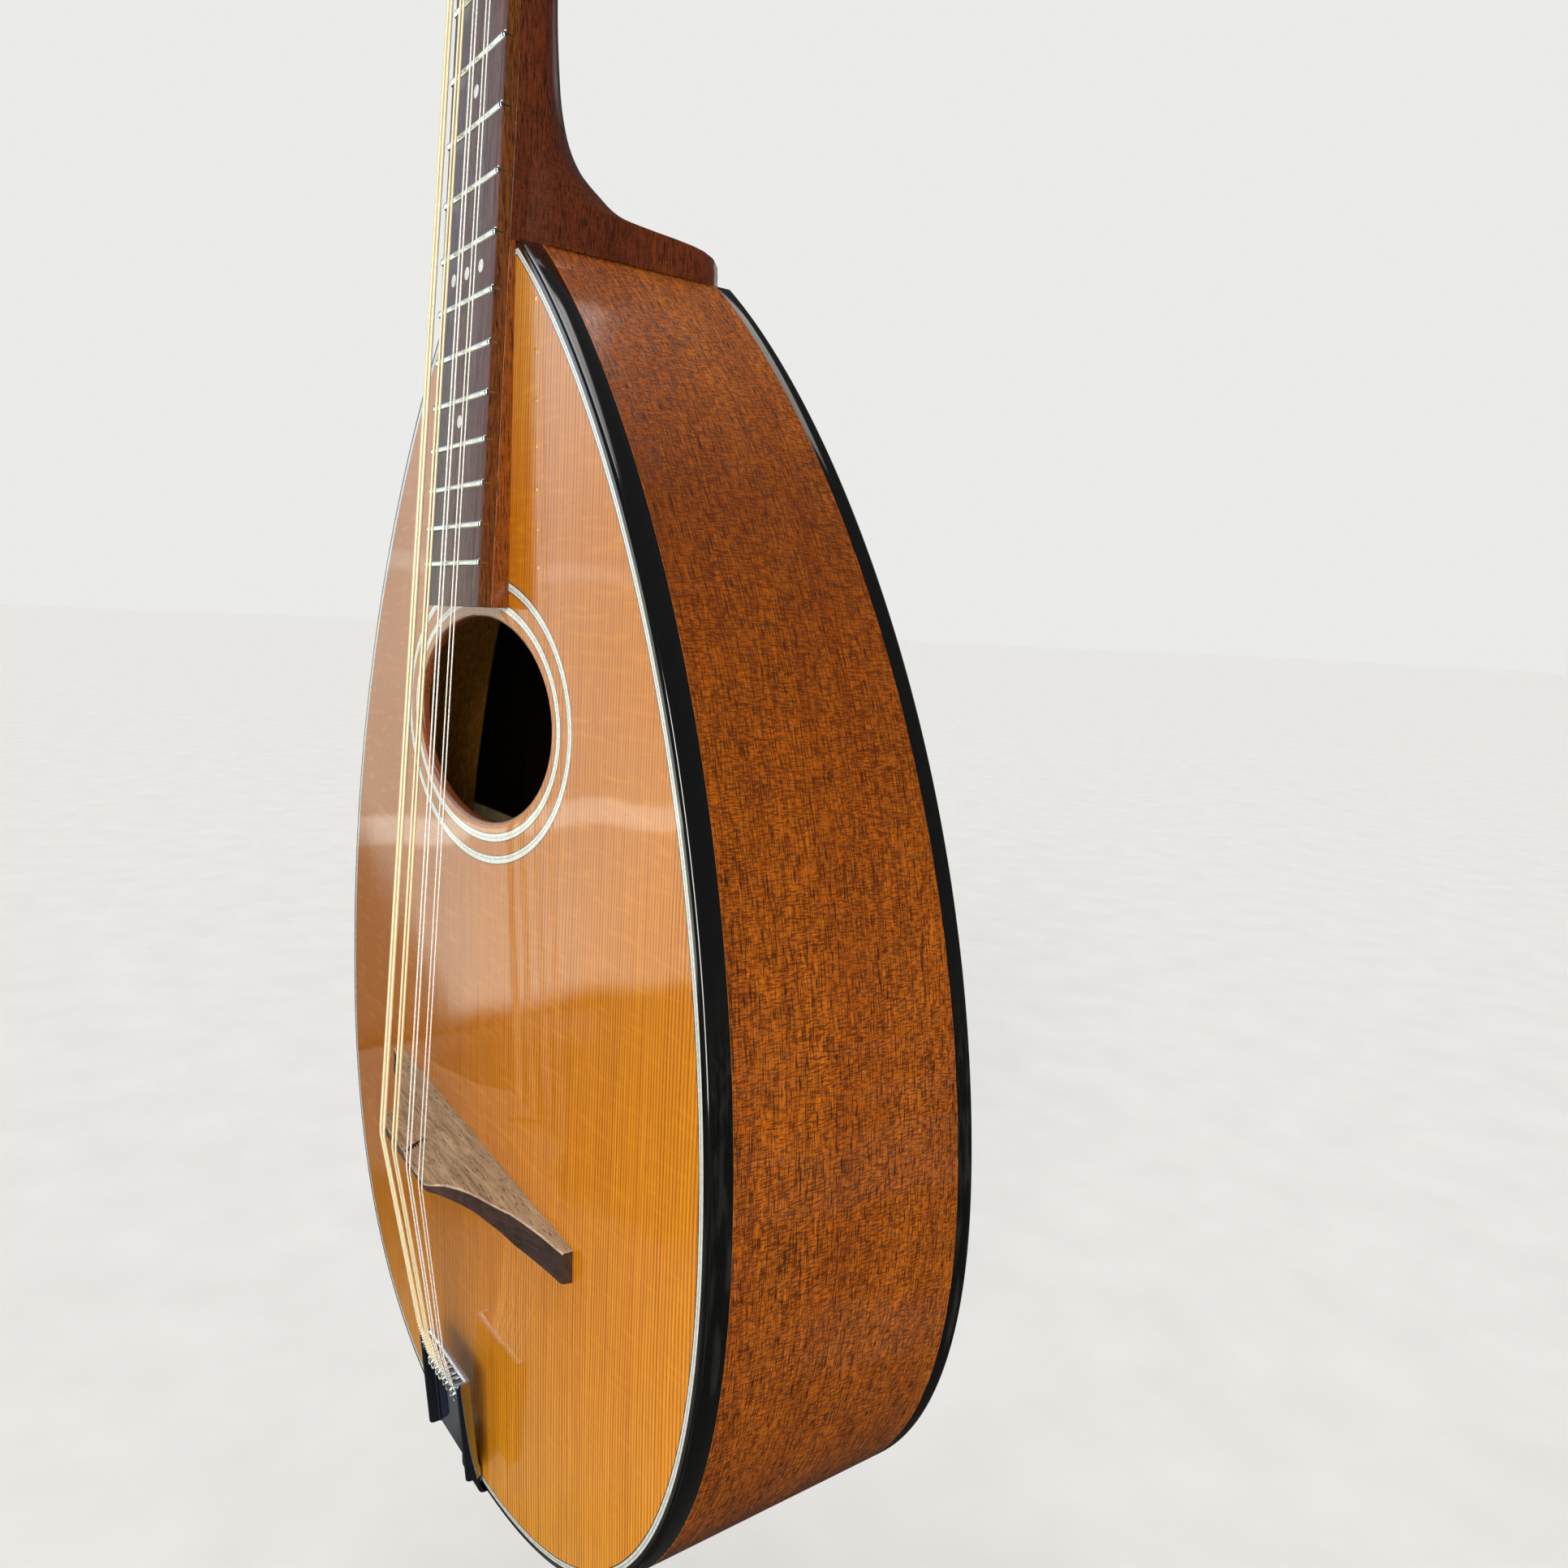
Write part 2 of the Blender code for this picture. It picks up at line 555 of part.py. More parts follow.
# ------------------------------------------------------------ tailpiece
# a bent sheet: a tray with two upturned sides, and a tongue that steps down
# from its lower edge to the rim and turns over the tail
TP_T = 1.1
TRAY_HALF, TRAY_WALL = 18.7, 4.3
TRAY_Z0, TRAY_Z1 = -118.6, -80.5


def tray_y(z):
    """Depth of the tray's front face."""
    return -6.6 - 0.105 * (z + 117.5)


secs = []
for z in (TRAY_Z0, TRAY_Z1):
    y, w = tray_y(z), TRAY_HALF
    secs.append([W(sx, y + d, z) for sx, d in
                 ((-w, -TRAY_WALL), (-w, TP_T), (w, TP_T), (w, -TRAY_WALL), (w - TP_T, -TRAY_WALL), (w - TP_T, 0),
                  (-w + TP_T, 0), (-w + TP_T, -TRAY_WALL))])
tailpiece = obj("tailpiece", *loft(secs), "chrome")
TONGUE = [  # y, z, half width
    (33.0, -134.3, 6.5), (8.0, -134.3, 8.0), (0.2, -134.3, 8.0), (-1.5, -133.4, 8.0), (-2.0, -131.8, 8.0),
    (-2.2, -124.0, 8.2), (-3.3, -121.2, 8.8), (-6.55, -117.9, 10.0), (-7.3, -112.0, 10.0)]
secs = []
for i, (y, z, w) in enumerate(TONGUE):
    a, b = TONGUE[max(i - 1, 0)], TONGUE[min(i + 1, len(TONGUE) - 1)]
    ty, tz = b[0] - a[0], b[1] - a[1]
    n = sqrt(ty * ty + tz * tz)
    ny, nz = tz / n, -ty / n          # towards the body
    secs.append([W(sx, y + ny * d, z + nz * d) for sx, d in ((-w, 0), (w, 0), (w, TP_T), (-w, TP_T))])
tongue = cutter("tongue", *loft(secs))
boolean(tailpiece, tongue, 'UNION')
hooks = []
for c in range(4):
    for j in (-0.5, 0.5):
        x = HOOK_X[c] + j * PAIR_HOOK
        hooks.append(loft([[W(x + s, tray_y(z) + 0.5, z) for s in (-0.9, 0.9)]
                           + [W(x + s, tray_y(z) - 3.6, z) for s in (0.9, -0.9)]
                           for z in (-88.2, -87.0)]))
lip = loft([[W(sx, tray_y(z) + 0.4, z), W(sx, tray_y(z) - 1.0, z), W(sx, tray_y(z) - 1.0, z - 1.0), W(sx, tray_y(z) + 0.4, z - 1.0)]
            for sx, z in ((-TRAY_HALF + 0.5, TRAY_Z1 - 0.05), (TRAY_HALF - 0.5, TRAY_Z1 - 0.05))])
hook_tool = cutter("string_hooks", *merge(lip, *hooks))
boolean(tailpiece, hook_tool, 'UNION')

SCREWS = (("upper", 13.0), ("lower", 26.0))
bores = cutter("screw_bores", *merge(*[rod(W(0, y, -136.0), (0, 0, 1), 1.7 * MM, 24 * MM, 10) for _, y in SCREWS]))
for target in (tailpiece, tail_wedge, tail_block):
    boolean(target, bores)
for name, y in SCREWS:
    rings = ((-136.4, 1.4), (-135.9, 2.6), (-134.7, 3.2), (-134.65, 1.35), (-116.0, 1.35), (-113.5, 0.4))
    obj("tailpiece_screw_" + name,
        *loft([[W(r * cos(2 * pi * k / 10), y + r * sin(2 * pi * k / 10), z) for k in range(10)] for z, r in rings]),
        "nickel", smooth=True)

# ------------------------------------------------------------ tuners
axis_u = Vector((1, 0, 0))
axis_w = (head_put(0, 0, 1) - head_put(0, 0, 0)).normalized()
axis_v = up_v.normalized()


def frame_matrix(origin, ex, ey, ez):
    m = Matrix((ex, ey, ez)).transposed().to_4x4()
    m.translation = origin
    return m


# plate with ears that carry the worm shafts
for side, sign in (("bass", -1), ("treble", 1)):
    u0, u1 = sorted((sign * 13.2, sign * 26.4))
    plate = obj("tuner_plate_" + side,
                *loft([[head_put(u, v, w) for u, w in ((u0, 16.5), (u1, 16.5), (u1, 108.5), (u0, 108.5))]
                       for v in (-HEAD_T - GAP - PLATE_T, -HEAD_T - GAP)]), "nickel")
    ears = []
    for i in range(4):
        wc = POST_W0 + POST_PITCH * i - WORM_DROP
        for off in (-3.7, 3.7):
            uc = sign * POST_U + off
            ears.append(loft([[head_put(u, v, w) for u, w in ((uc - 0.5, wc - 2.6), (uc + 0.5, wc - 2.6),
                                                              (uc + 0.5, wc + 2.0), (uc - 0.5, wc + 2.0))]
                              for v in (-21.4, -16.0)]))
    ear_tool = cutter("ears_" + side, *merge(*ears))
    boolean(plate, ear_tool, 'UNION')
    bore_tool = cutter("shaft_bores_" + side, *merge(*[
        rod(head_put(sign * 12.0, WORM_V, POST_W0 + POST_PITCH * i - WORM_DROP), (sign, 0, 0), 1.35 * MM, 15.0 * MM, 8)
        for i in range(4)]))
    boolean(plate, bore_tool)
    boolean(plate, hole_tool)


def post_shape():
    """Gear and string post about local Z, gear's mid plane at z = 0."""
    face = 1.0
    lead = WORM_PITCH / (2 * pi * WORM_R)
    period = 2 * pi / GEAR_TEETH
    r_root, r_tip = 3.65, 4.75

    def gear_loop(z):
        turn = lead * z / GEAR_R
        out = []
        for t in range(GEAR_TEETH):
            mid = -pi / 2 + period * (t + 0.5) + turn
            for frac, r in ((-0.325, r_root), (-0.125, r_tip), (0.125, r_tip), (0.325, r_root)):
                a = mid + frac * period
                out.append((r * cos(a), r * sin(a), z))
        return out

    def post_loop(z, r):
        return [(r * cos(-pi / 2 + period * t), r * sin(-pi / 2 + period * t), z) for t in range(GEAR_TEETH)]

    top = POST_TOP - WORM_V
    loops_p = [post_loop(-1.7, 1.6), post_loop(-face, 2.4)]
    g0, g1 = gear_loop(-face), gear_loop(face)
    up = [post_loop(face, POST_R), post_loop(top - 0.6, POST_R), post_loop(top, POST_R - 0.6)]
    verts = [v for l in loops_p for v in l] + g0 + g1 + [v for l in up for v in l]
    T = GEAR_TEETH
    faces = [tuple(range(T - 1, -1, -1))]
    for j in range(T):
        k = (j + 1) % T
        faces.append((j, k, T + k, T + j))
    o0, o1, o2 = 2 * T, 2 * T + 4 * T, 2 * T + 8 * T
    for j in range(T):
        k = (j + 1) % T
        p = [o0 + 4 * j + i for i in range(4)] + [o0 + (4 * j + 4) % (4 * T)]
        q0, q1 = T + j, T + k
        faces += [(q0, p[1], p[0]), (q0, p[2], p[1]), (q0, p[3], p[2]), (q0, q1, p[4], p[3])]
        p = [o1 + 4 * j + i for i in range(4)] + [o1 + (4 * j + 4) % (4 * T)]
        q0, q1 = o2 + j, o2 + k
        faces += [(q0, p[0], p[1]), (q0, p[1], p[2]), (q0, p[2], p[3]), (q0, p[3], p[4], q1)]
    for j in range(4 * T):
        k = (j + 1) % (4 * T)
        faces.append((o0 + j, o0 + k, o1 + k, o1 + j))
    for s in range(2):
        for j in range(T):
            k = (j + 1) % T
            a, b = o2 + s * T, o2 + (s + 1) * T
            faces.append((a + j, a + k, b + k, b + j))
    faces.append(tuple(o2 + 2 * T + j for j in range(T)))
    return [Vector(v) * MM for v in verts], faces


def worm_shape():
    """Worm, shaft and button about local Z, worm's middle at z = 0."""
    n = 8
    secs = []

    def circle(z, a, b=None):
        b = a if b is None else b
        return [(a * cos(2 * pi * (k + 0.5) / n), b * sin(2 * pi * (k + 0.5) / n), z) for k in range(n)]

    secs.append(circle(-5.2, 1.0))
    secs.append(circle(-WORM_PITCH - 0.12, 1.0))
    for i in range(-8, 9):
        z = WORM_PITCH * i / 8
        loop_pts = []
        for k in range(n):
            rel = (k - i) % n          # 0 and n-1 stand on the crest
            r = 2.3 if rel in (0, n - 1) else 1.2
            a = 2 * pi * (k + 0.5) / n
            loop_pts.append((r * cos(a), r * sin(a), z))
        secs.append(loop_pts)
    secs.append(circle(WORM_PITCH + 0.12, 1.0))
    start = 31.8 - POST_U
    for z, a, b in ((start, 1.0, 1.0), (start, 2.6, 2.2), (start + 2.0, 3.2, 2.4), (start + 6.0, 6.0, 3.4),
                    (start + 10.0, 6.2, 3.5), (start + 12.5, 4.2, 2.4)):
        secs.append(circle(z, a, b))
    v, f = loft(secs)
    return [Vector(p) * MM for p in v], f


post_mesh, worm_mesh = post_shape(), worm_shape()
post_me = worm_me = None
for side, i, u, w in POSTS:
    sgn = 1 if side == "treble" else -1
    nm = "%s_%d" % (side, i + 1)
    at = head_put(u, WORM_V, w)
    p = obj("string_post_" + nm, *post_mesh, "nickel", smooth=True,
            place=frame_matrix(at, axis_u, axis_w, axis_v))
    at = head_put(u, WORM_V, w - WORM_DROP)
    b = obj("tuner_button_" + nm, *worm_mesh, "button", smooth=True,
            place=frame_matrix(at, axis_w, axis_v * sgn, axis_u * sgn))


# ------------------------------------------------------------ strings
def tube(path, radius, sides=6):
    """Round wire along a path in metres, with flat ends."""
    secs = []
    ref = Vector((1, 0, 0))
    for i, p in enumerate(path):
        a, b = path[max(i - 1, 0)], path[min(i + 1, len(path) - 1)]
        t = (b - a).normalized()
        e1 = (ref - t * ref.dot(t)).normalized()
        e2 = t.cross(e1)
        ref = e1
        secs.append([p + (e1 * cos(2 * pi * k / sides) + e2 * sin(2 * pi * k / sides)) * radius for k in range(sides)])
    return loft(secs)


COIL_TURNS, COIL_STEPS = 1.5, 8
course_names = ("4", "3", "2", "1")
for c in range(4):
    r = STRING_R[c]
    for j, letter in enumerate("ab"):
        off = (j - 0.5)
        side, sgn = ("bass", -1) if c < 2 else ("treble", 1)
        # the outer course goes to the two nearer posts
        outer = c in (0, 3)
        near = (0, 1) if outer else (2, 3)
        # the outer string of a pair goes to the nearer post of the two
        outside = (j == 0) if sgn < 0 else (j == 1)
        i = near[0] if outside else near[1]
        w = POST_W0 + POST_PITCH * i
        xh, xs, xn = HOOK_X[c] + off * PAIR_HOOK, SADDLE_X[c] + off * PAIR_SADDLE, NUT_X[c] + off * PAIR_NUT
        path = [W(xh, -13.0, -86.2), W(xh, -16.6 - r, -72.0),
                W(xs, SADDLE_Y - r, bridge_front(xs) - 3.4), W(xs, SADDLE_Y - r, bridge_front(xs) - 0.4),
                W(xn, 4.3 - r, 560.6), W(xn, 4.5 - r, 564.6)]
        rad = POST_R + GAP + r
        pitch = 2 * r + 0.2
        v0 = 5.6
        steps = int(COIL_TURNS * COIL_STEPS)
        for k in range(steps + 1):
            a = k / COIL_STEPS
            ang = (pi if sgn > 0 else 0) + (-sgn) * 2 * pi * a
            path.append(head_put(sgn * POST_U + rad * cos(ang), v0 - pitch * a, w + rad * sin(ang)))
        obj("string_%s%s" % (course_names[c], letter), *tube(path, r * MM),
            "bronze_string" if c < 2 else "plain_string", smooth=True)
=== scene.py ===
"""Looks of the octave mandolin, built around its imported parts.

Lengths below are millimetres in the instrument's bridge frame (x across,
treble positive; y depth, soundboard rim at 0, back positive; z up the neck
from the saddle line) and W() moves them to the part's frame in metres.
"""
import bpy
import bmesh
from math import sin, cos, tan, pi, sqrt, radians, atan2, exp
import numpy as np
from mathutils import Vector, Matrix


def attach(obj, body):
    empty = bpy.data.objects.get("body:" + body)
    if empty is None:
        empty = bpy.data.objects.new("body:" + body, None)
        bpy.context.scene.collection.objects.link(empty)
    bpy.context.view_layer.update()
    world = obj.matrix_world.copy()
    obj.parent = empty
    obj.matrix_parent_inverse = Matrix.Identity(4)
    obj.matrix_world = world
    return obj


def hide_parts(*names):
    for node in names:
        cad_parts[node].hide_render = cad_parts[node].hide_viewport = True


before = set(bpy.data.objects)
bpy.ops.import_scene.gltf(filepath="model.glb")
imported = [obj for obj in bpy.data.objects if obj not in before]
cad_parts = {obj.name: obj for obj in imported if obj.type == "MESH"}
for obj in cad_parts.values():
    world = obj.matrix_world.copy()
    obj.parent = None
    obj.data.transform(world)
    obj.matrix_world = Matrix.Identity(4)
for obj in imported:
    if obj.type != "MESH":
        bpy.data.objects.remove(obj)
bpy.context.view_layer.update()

MM = 0.001
SEAT_Y, SEAT_Z = 17.0, 572.0
INST = "instrument"


def W(x, y, z):
    return (x * MM, (y - SEAT_Y) * MM, (z - SEAT_Z) * MM)


# ------------------------------------------------------------ the camera
CAM_F = 1451.2
cam_data = bpy.data.cameras.new("camera")
cam_data.sensor_fit = 'HORIZONTAL'
cam_data.sensor_width = 36.0
cam_data.lens = 36.0 * CAM_F / 1932.0
cam_data.clip_start, cam_data.clip_end = 0.02, 50.0
cam = bpy.data.objects.new("camera", cam_data)
bpy.context.scene.collection.objects.link(cam)
right = Vector((0.5875, 0.8080, 0.0445)).normalized()
down = Vector((0.1356, -0.0441, -0.9898)).normalized()
down = (down - right * down.dot(right)).normalized()
fwd = right.cross(down)
cm = Matrix((right, -down, -fwd)).transposed().to_4x4()
cm.translation = Vector(W(378.8, -152.0, 183.7))
cam.matrix_world = cm
bpy.context.scene.camera = cam


# ------------------------------------------------------------ shader kit
class Mat:
    """A small helper to write node trees."""

    def __init__(self, name):
        self.m = bpy.data.materials.new(name)
        self.m.use_nodes = True
        self.nt = self.m.node_tree
        self.bsdf = self.nt.nodes["Principled BSDF"]

    def n(self, kind, **kw):
        node = self.nt.nodes.new(kind)
        for k, v in kw.items():
            setattr(node, k, v)
        return node

    def link(self, a, b):
        self.nt.links.new(a, b)

    def put(self, sock, v):
        if isinstance(v, (int, float)):
            sock.default_value = v
        elif isinstance(v, (tuple, list)):
            sock.default_value = tuple(v) if len(v) == len(sock.default_value) else (*v, 1.0)
        else:
            self.link(v, sock)

    def math(self, op, a, b=0.0, c=0.0, clamp=False):
        x = self.n("ShaderNodeMath", operation=op, use_clamp=clamp)
        for s, v in zip(x.inputs, (a, b, c)):
            self.put(s, v)
        return x.outputs[0]

    def coords(self):
        t = self.n("ShaderNodeTexCoord")
        return t.outputs["Object"]

    def attr(self, name):
        a = self.n("ShaderNodeAttribute", attribute_name=name, attribute_type='GEOMETRY')
        return a.outputs["Vector"]

    def scale(self, vec, s, offset=(0, 0, 0)):
        m = self.n("ShaderNodeMapping")
        m.inputs["Scale"].default_value = s
        m.inputs["Location"].default_value = offset
        self.link(vec, m.inputs["Vector"])
        return m.outputs[0]

    def sep(self, vec):
        s = self.n("ShaderNodeSeparateXYZ")
        self.link(vec, s.inputs[0])
        return s.outputs

    def comb(self, x, y, z):
        c = self.n("ShaderNodeCombineXYZ")
        for s, v in zip(c.inputs, (x, y, z)):
            self.put(s, v)
        return c.outputs[0]

    def noise(self, vec, scale, detail=3.0, rough=0.5, dist=0.0):
        t = self.n("ShaderNodeTexNoise")
        self.link(vec, t.inputs["Vector"])
        t.inputs["Scale"].default_value = scale
        t.inputs["Detail"].default_value = detail
        t.inputs["Roughness"].default_value = rough
        t.inputs["Distortion"].default_value = dist
        return t.outputs["Fac"]

    def ramp(self, fac, stops, mode='LINEAR'):
        r = self.n("ShaderNodeValToRGB")
        r.color_ramp.interpolation = mode
        while len(r.color_ramp.elements) > 1:
            r.color_ramp.elements.remove(r.color_ramp.elements[0])
        first = True
        for pos, col in stops:
            if not isinstance(col, (tuple, list)):
                col = (col, col, col)
            if first:
                e = r.color_ramp.elements[0]
                e.position = pos
                first = False
            else:
                e = r.color_ramp.elements.new(pos)
            e.color = (*col[:3], 1.0)
        self.link(fac, r.inputs[0])
        return r.outputs[0]

    def mix(self, fac, a, b, kind='MIX'):
        x = self.n("ShaderNodeMix", data_type='RGBA', blend_type=kind)
        self.put(x.inputs[0], fac)
        self.put(x.inputs[6], a)
        self.put(x.inputs[7], b)
        return x.outputs[2]

    def maprange(self, v, a, b, c, d):
        x = self.n("ShaderNodeMapRange")
        self.link(v, x.inputs[0])
        for s, val in zip(x.inputs[1:5], (a, b, c, d)):
            s.default_value = val
        return x.outputs[0]

    def bump(self, height, strength, distance, normal=None):
        b = self.n("ShaderNodeBump")
        b.inputs["Strength"].default_value = strength
        b.inputs["Distance"].default_value = distance
        self.link(height, b.inputs["Height"])
        if normal is not None:
            self.link(normal, b.inputs["Normal"])
        return b.outputs[0]

    def set(self, **kw):
        names = {"color": "Base Color", "rough": "Roughness", "metal": "Metallic", "coat": "Coat Weight",
                 "coat_rough": "Coat Roughness", "normal": "Normal", "coat_normal": "Coat Normal",
                 "spec": "Specular IOR Level", "ior": "IOR", "aniso": "Anisotropic",
                 "sheen": "Sheen Weight", "coat_ior": "Coat IOR", "sss": "Subsurface Weight",
                 "sss_scale": "Subsurface Scale"}
        for k, v in kw.items():
            self.put(self.bsdf.inputs[names[k]], v)
        return self.m


def srgb(r, g, b):
    def f(c):
        c /= 255.0
        return c / 12.92 if c <= 0.04045 else ((c + 0.055) / 1.055) ** 2.4
    return (f(r), f(g), f(b))


# ---- lacquered spruce: straight fine grain, book-matched at the centre line
def spruce(name, lacquer=True, tint=1.0):
    m = Mat(name)
    x, y, z = m.sep(m.coords())
    ax = m.math('ABSOLUTE', x)
    # slow wander of the grain lines along the board
    w1 = m.noise(m.comb(m.math('MULTIPLY', ax, 14.0), 0.0, m.math('MULTIPLY', z, 3.0)), 1.0, 2.0)
    w2 = m.noise(m.comb(m.math('MULTIPLY', ax, 60.0), 0.0, m.math('MULTIPLY', z, 9.0)), 1.0, 2.0)
    wander = m.math('ADD', m.math('MULTIPLY', w1, 0.0085), m.math('MULTIPLY', w2, 0.0009))
    gx = m.math('ADD', ax, wander)
    # ring width drifts across the board: tight at the seam, wider at the edge
    ring = m.math('ADD', m.math('MULTIPLY', gx, 590.0), m.math('MULTIPLY', m.math('SINE', m.math('MULTIPLY', gx, 55.0)), 1.7))
    fr = m.math('FRACT', ring)
    late = m.ramp(fr, [(0.0, 0.0), (0.40, 0.08), (0.68, 0.75), (0.80, 1.0), (0.93, 0.6), (1.0, 0.0)])
    rid = m.math('FLOOR', ring)
    amp = m.noise(m.comb(m.math('MULTIPLY', rid, 0.73), 0.0, m.math('MULTIPLY', z, 5.0)), 1.0, 1.0)
    lateamp = m.math('MULTIPLY', late, m.maprange(amp, 0.3, 0.7, 0.5, 1.1))
    # short fibres along the grain
    fib = m.noise(m.comb(m.math('MULTIPLY', x, 2600.0), m.math('MULTIPLY', y, 300.0), m.math('MULTIPLY', z, 55.0)), 1.0, 3.0, 0.6)
    # broad tone bands and faint cross silk
    band = m.noise(m.comb(m.math('MULTIPLY', gx, 190.0), 0.0, m.math('MULTIPLY', z, 2.0)), 1.0, 2.0, 0.6)
    silk = m.noise(m.comb(m.math('MULTIPLY', x, 70.0), 0.0, m.math('MULTIPLY', z, 420.0)), 1.0, 2.0, 0.55, 0.4)
    light, mid, dark = (1.0, 0.395, 0.012), (0.86, 0.290, 0.005), (0.32, 0.078, 0.002)
    if not lacquer:
        light, mid, dark = srgb(226, 196, 146), srgb(206, 168, 112), srgb(168, 122, 70)
    base = m.mix(m.maprange(band, 0.3, 0.7, 0.0, 1.0), light, mid)
    if lacquer:
        # darker up the board; painted shade also darkens the bass side, where less light falls
        up = m.maprange(m.math('ADD', z, m.math('MULTIPLY', band, 0.03)), -0.60, -0.42, 0.0, 0.50)
        bass = m.maprange(x, 0.13, -0.09, 0.0, 0.78)
        base = m.mix(up, base, (0.46, 0.140, 0.003))
        base = m.mix(bass, base, (0.32, 0.088, 0.003))
        # paler towards the tail, and again beside the neck
        base = m.mix(m.maprange(z, -0.70, -0.60, 0.60, 0.0), base, (1.0, 0.47, 0.030))
        base = m.mix(m.maprange(z, -0.36, -0.29, 0.0, 0.42), base, (0.86, 0.50, 0.13))
    base = m.mix(m.math('MULTIPLY', lateamp, 1.0 if lacquer else 0.6), base, dark)
    base = m.mix(m.maprange(fib, 0.38, 0.72, 0.0, 0.42), base, dark)
    base = m.mix(m.maprange(silk, 0.52, 0.72, 0.0, 0.14), base, light)
    h = m.math('ADD', m.math('MULTIPLY', lateamp, -0.5), m.math('MULTIPLY', fib, 0.35))
    if lacquer:
        ripple = m.noise(m.comb(m.math('MULTIPLY', x, 55.0), 0.0, m.math('MULTIPLY', z, 22.0)), 1.0, 2.0, 0.5)
        hh = m.math('ADD', m.math('MULTIPLY', h, 0.10), m.math('MULTIPLY', ripple, 1.0))
        m.set(color=base, rough=0.42, normal=m.bump(h, 0.25, 0.00012), coat=1.0, coat_rough=0.022,
              coat_normal=m.bump(hh, 0.22, 0.00035), spec=0.08)
    else:
        m.set(color=base, rough=0.8, normal=m.bump(h, 0.4, 0.0002))
    return m.m


# ---- lacquered mahogany: short dark pores, cross ripple and ribbon bands
def mahogany(name, use_attr=False, light=(176, 96, 30), mid=(140, 66, 14), dark=(84, 34, 8), gloss=0.05,
             ripple=1.0, coat=1.0, figure=1.0):
    """Grain runs along the third coordinate."""
    m = Mat(name)
    v = m.attr("grain") if use_attr else m.coords()
    a, b, c = m.sep(v)
    warp = m.noise(m.comb(m.math('MULTIPLY', a, 40.0), m.math('MULTIPLY', b, 40.0), m.math('MULTIPLY', c, 6.0)), 1.0, 2.0)
    aw = m.math('ADD', a, m.math('MULTIPLY', warp, 0.004))
    bw = m.math('ADD', b, m.math('MULTIPLY', warp, 0.004))
    # pores: short dark dashes along the grain
    pores = m.noise(m.comb(m.math('MULTIPLY', aw, 2900.0), m.math('MULTIPLY', bw, 2900.0), m.math('MULTIPLY', c, 200.0)), 1.0, 2.0, 0.55)
    pore = m.ramp(pores, [(0.0, 0.0), (0.53, 0.0), (0.62, 1.0), (1.0, 1.0)])
    # fine fibre lines, closely packed, and longer soft streaks
    fibre = m.noise(m.comb(m.math('MULTIPLY', aw, 1900.0), m.math('MULTIPLY', bw, 1900.0), m.math('MULTIPLY', c, 95.0)), 1.0, 3.0, 0.7)
    fib = m.ramp(fibre, [(0.0, 0.0), (0.44, 0.0), (0.58, 1.0), (1.0, 1.0)])
    streak = m.noise(m.comb(m.math('MULTIPLY', aw, 420.0), m.math('MULTIPLY', bw, 420.0), m.math('MULTIPLY', c, 14.0)), 1.0, 3.0, 0.6)
    # ripple marks: thin lines across the grain, broken up
    rip = m.noise(m.comb(m.math('MULTIPLY', aw, 380.0), m.math('MULTIPLY', bw, 380.0), m.math('MULTIPLY', c, 2300.0)), 1.0, 2.0, 0.6)
    ripl = m.ramp(rip, [(0.0, 0.0), (0.47, 0.0), (0.57, 1.0), (1.0, 1.0)])
    patch = m.noise(m.comb(m.math('MULTIPLY', a, 30.0), m.math('MULTIPLY', b, 60.0), m.math('MULTIPLY', c, 42.0)), 1.0, 2.0, 0.5)
    patchm = m.maprange(patch, 0.36, 0.60, 0.80, 1.0)
    # bright flecks between the marks
    spark = m.noise(m.comb(m.math('ADD', m.math('MULTIPLY', aw, 1500.0), 9.0), m.math('MULTIPLY', bw, 1900.0), m.math('MULTIPLY', c, 900.0)), 1.0, 2.0, 0.6)
    fleck = m.ramp(spark, [(0.0, 0.0), (0.54, 0.0), (0.66, 1.0), (1.0, 1.0)])
    band = m.noise(m.comb(m.math('MULTIPLY', aw, 60.0), m.math('MULTIPLY', bw, 60.0), m.math('MULTIPLY', c, 5.0)), 1.0, 2.0, 0.5)
    # painted shade: faint dark bands run slantwise over the board, standing in for mirrored dark surroundings
    slant = m.noise(m.comb(m.math('ADD', m.math('MULTIPLY', c, 46.0), m.math('MULTIPLY', b, -46.0)), m.math('MULTIPLY', a, 8.0),
                           m.math('MULTIPLY', b, 9.0)), 1.0, 2.0, 0.5)
    bright = tuple(min(1.0, k * 1.45 + 0.004) for k in srgb(*light))
    deep = srgb(int(dark[0] * .62), int(dark[1] * .55), int(dark[2] * .5))
    col = m.mix(m.maprange(band, 0.3, 0.7, 0.0, 1.0), srgb(*mid), srgb(*light))
    col = m.mix(m.math('MULTIPLY', fleck, 0.55 * figure), col, bright)
    col = m.mix(m.maprange(streak, 0.35, 0.75, 0.0, 0.26), col, srgb(*dark))
    col = m.mix(m.maprange(slant, 0.48, 0.72, 0.0, 0.09 * figure), col, srgb(*dark))
    col = m.mix(m.math('MULTIPLY', fib, 0.60 * figure), col, srgb(*dark))
    col = m.mix(m.math('MULTIPLY', m.math('MULTIPLY', ripl, patchm), 0.80 * ripple), col, srgb(*dark))
    col = m.mix(m.math('MULTIPLY', pore, 0.85), col, deep)
    if use_attr:
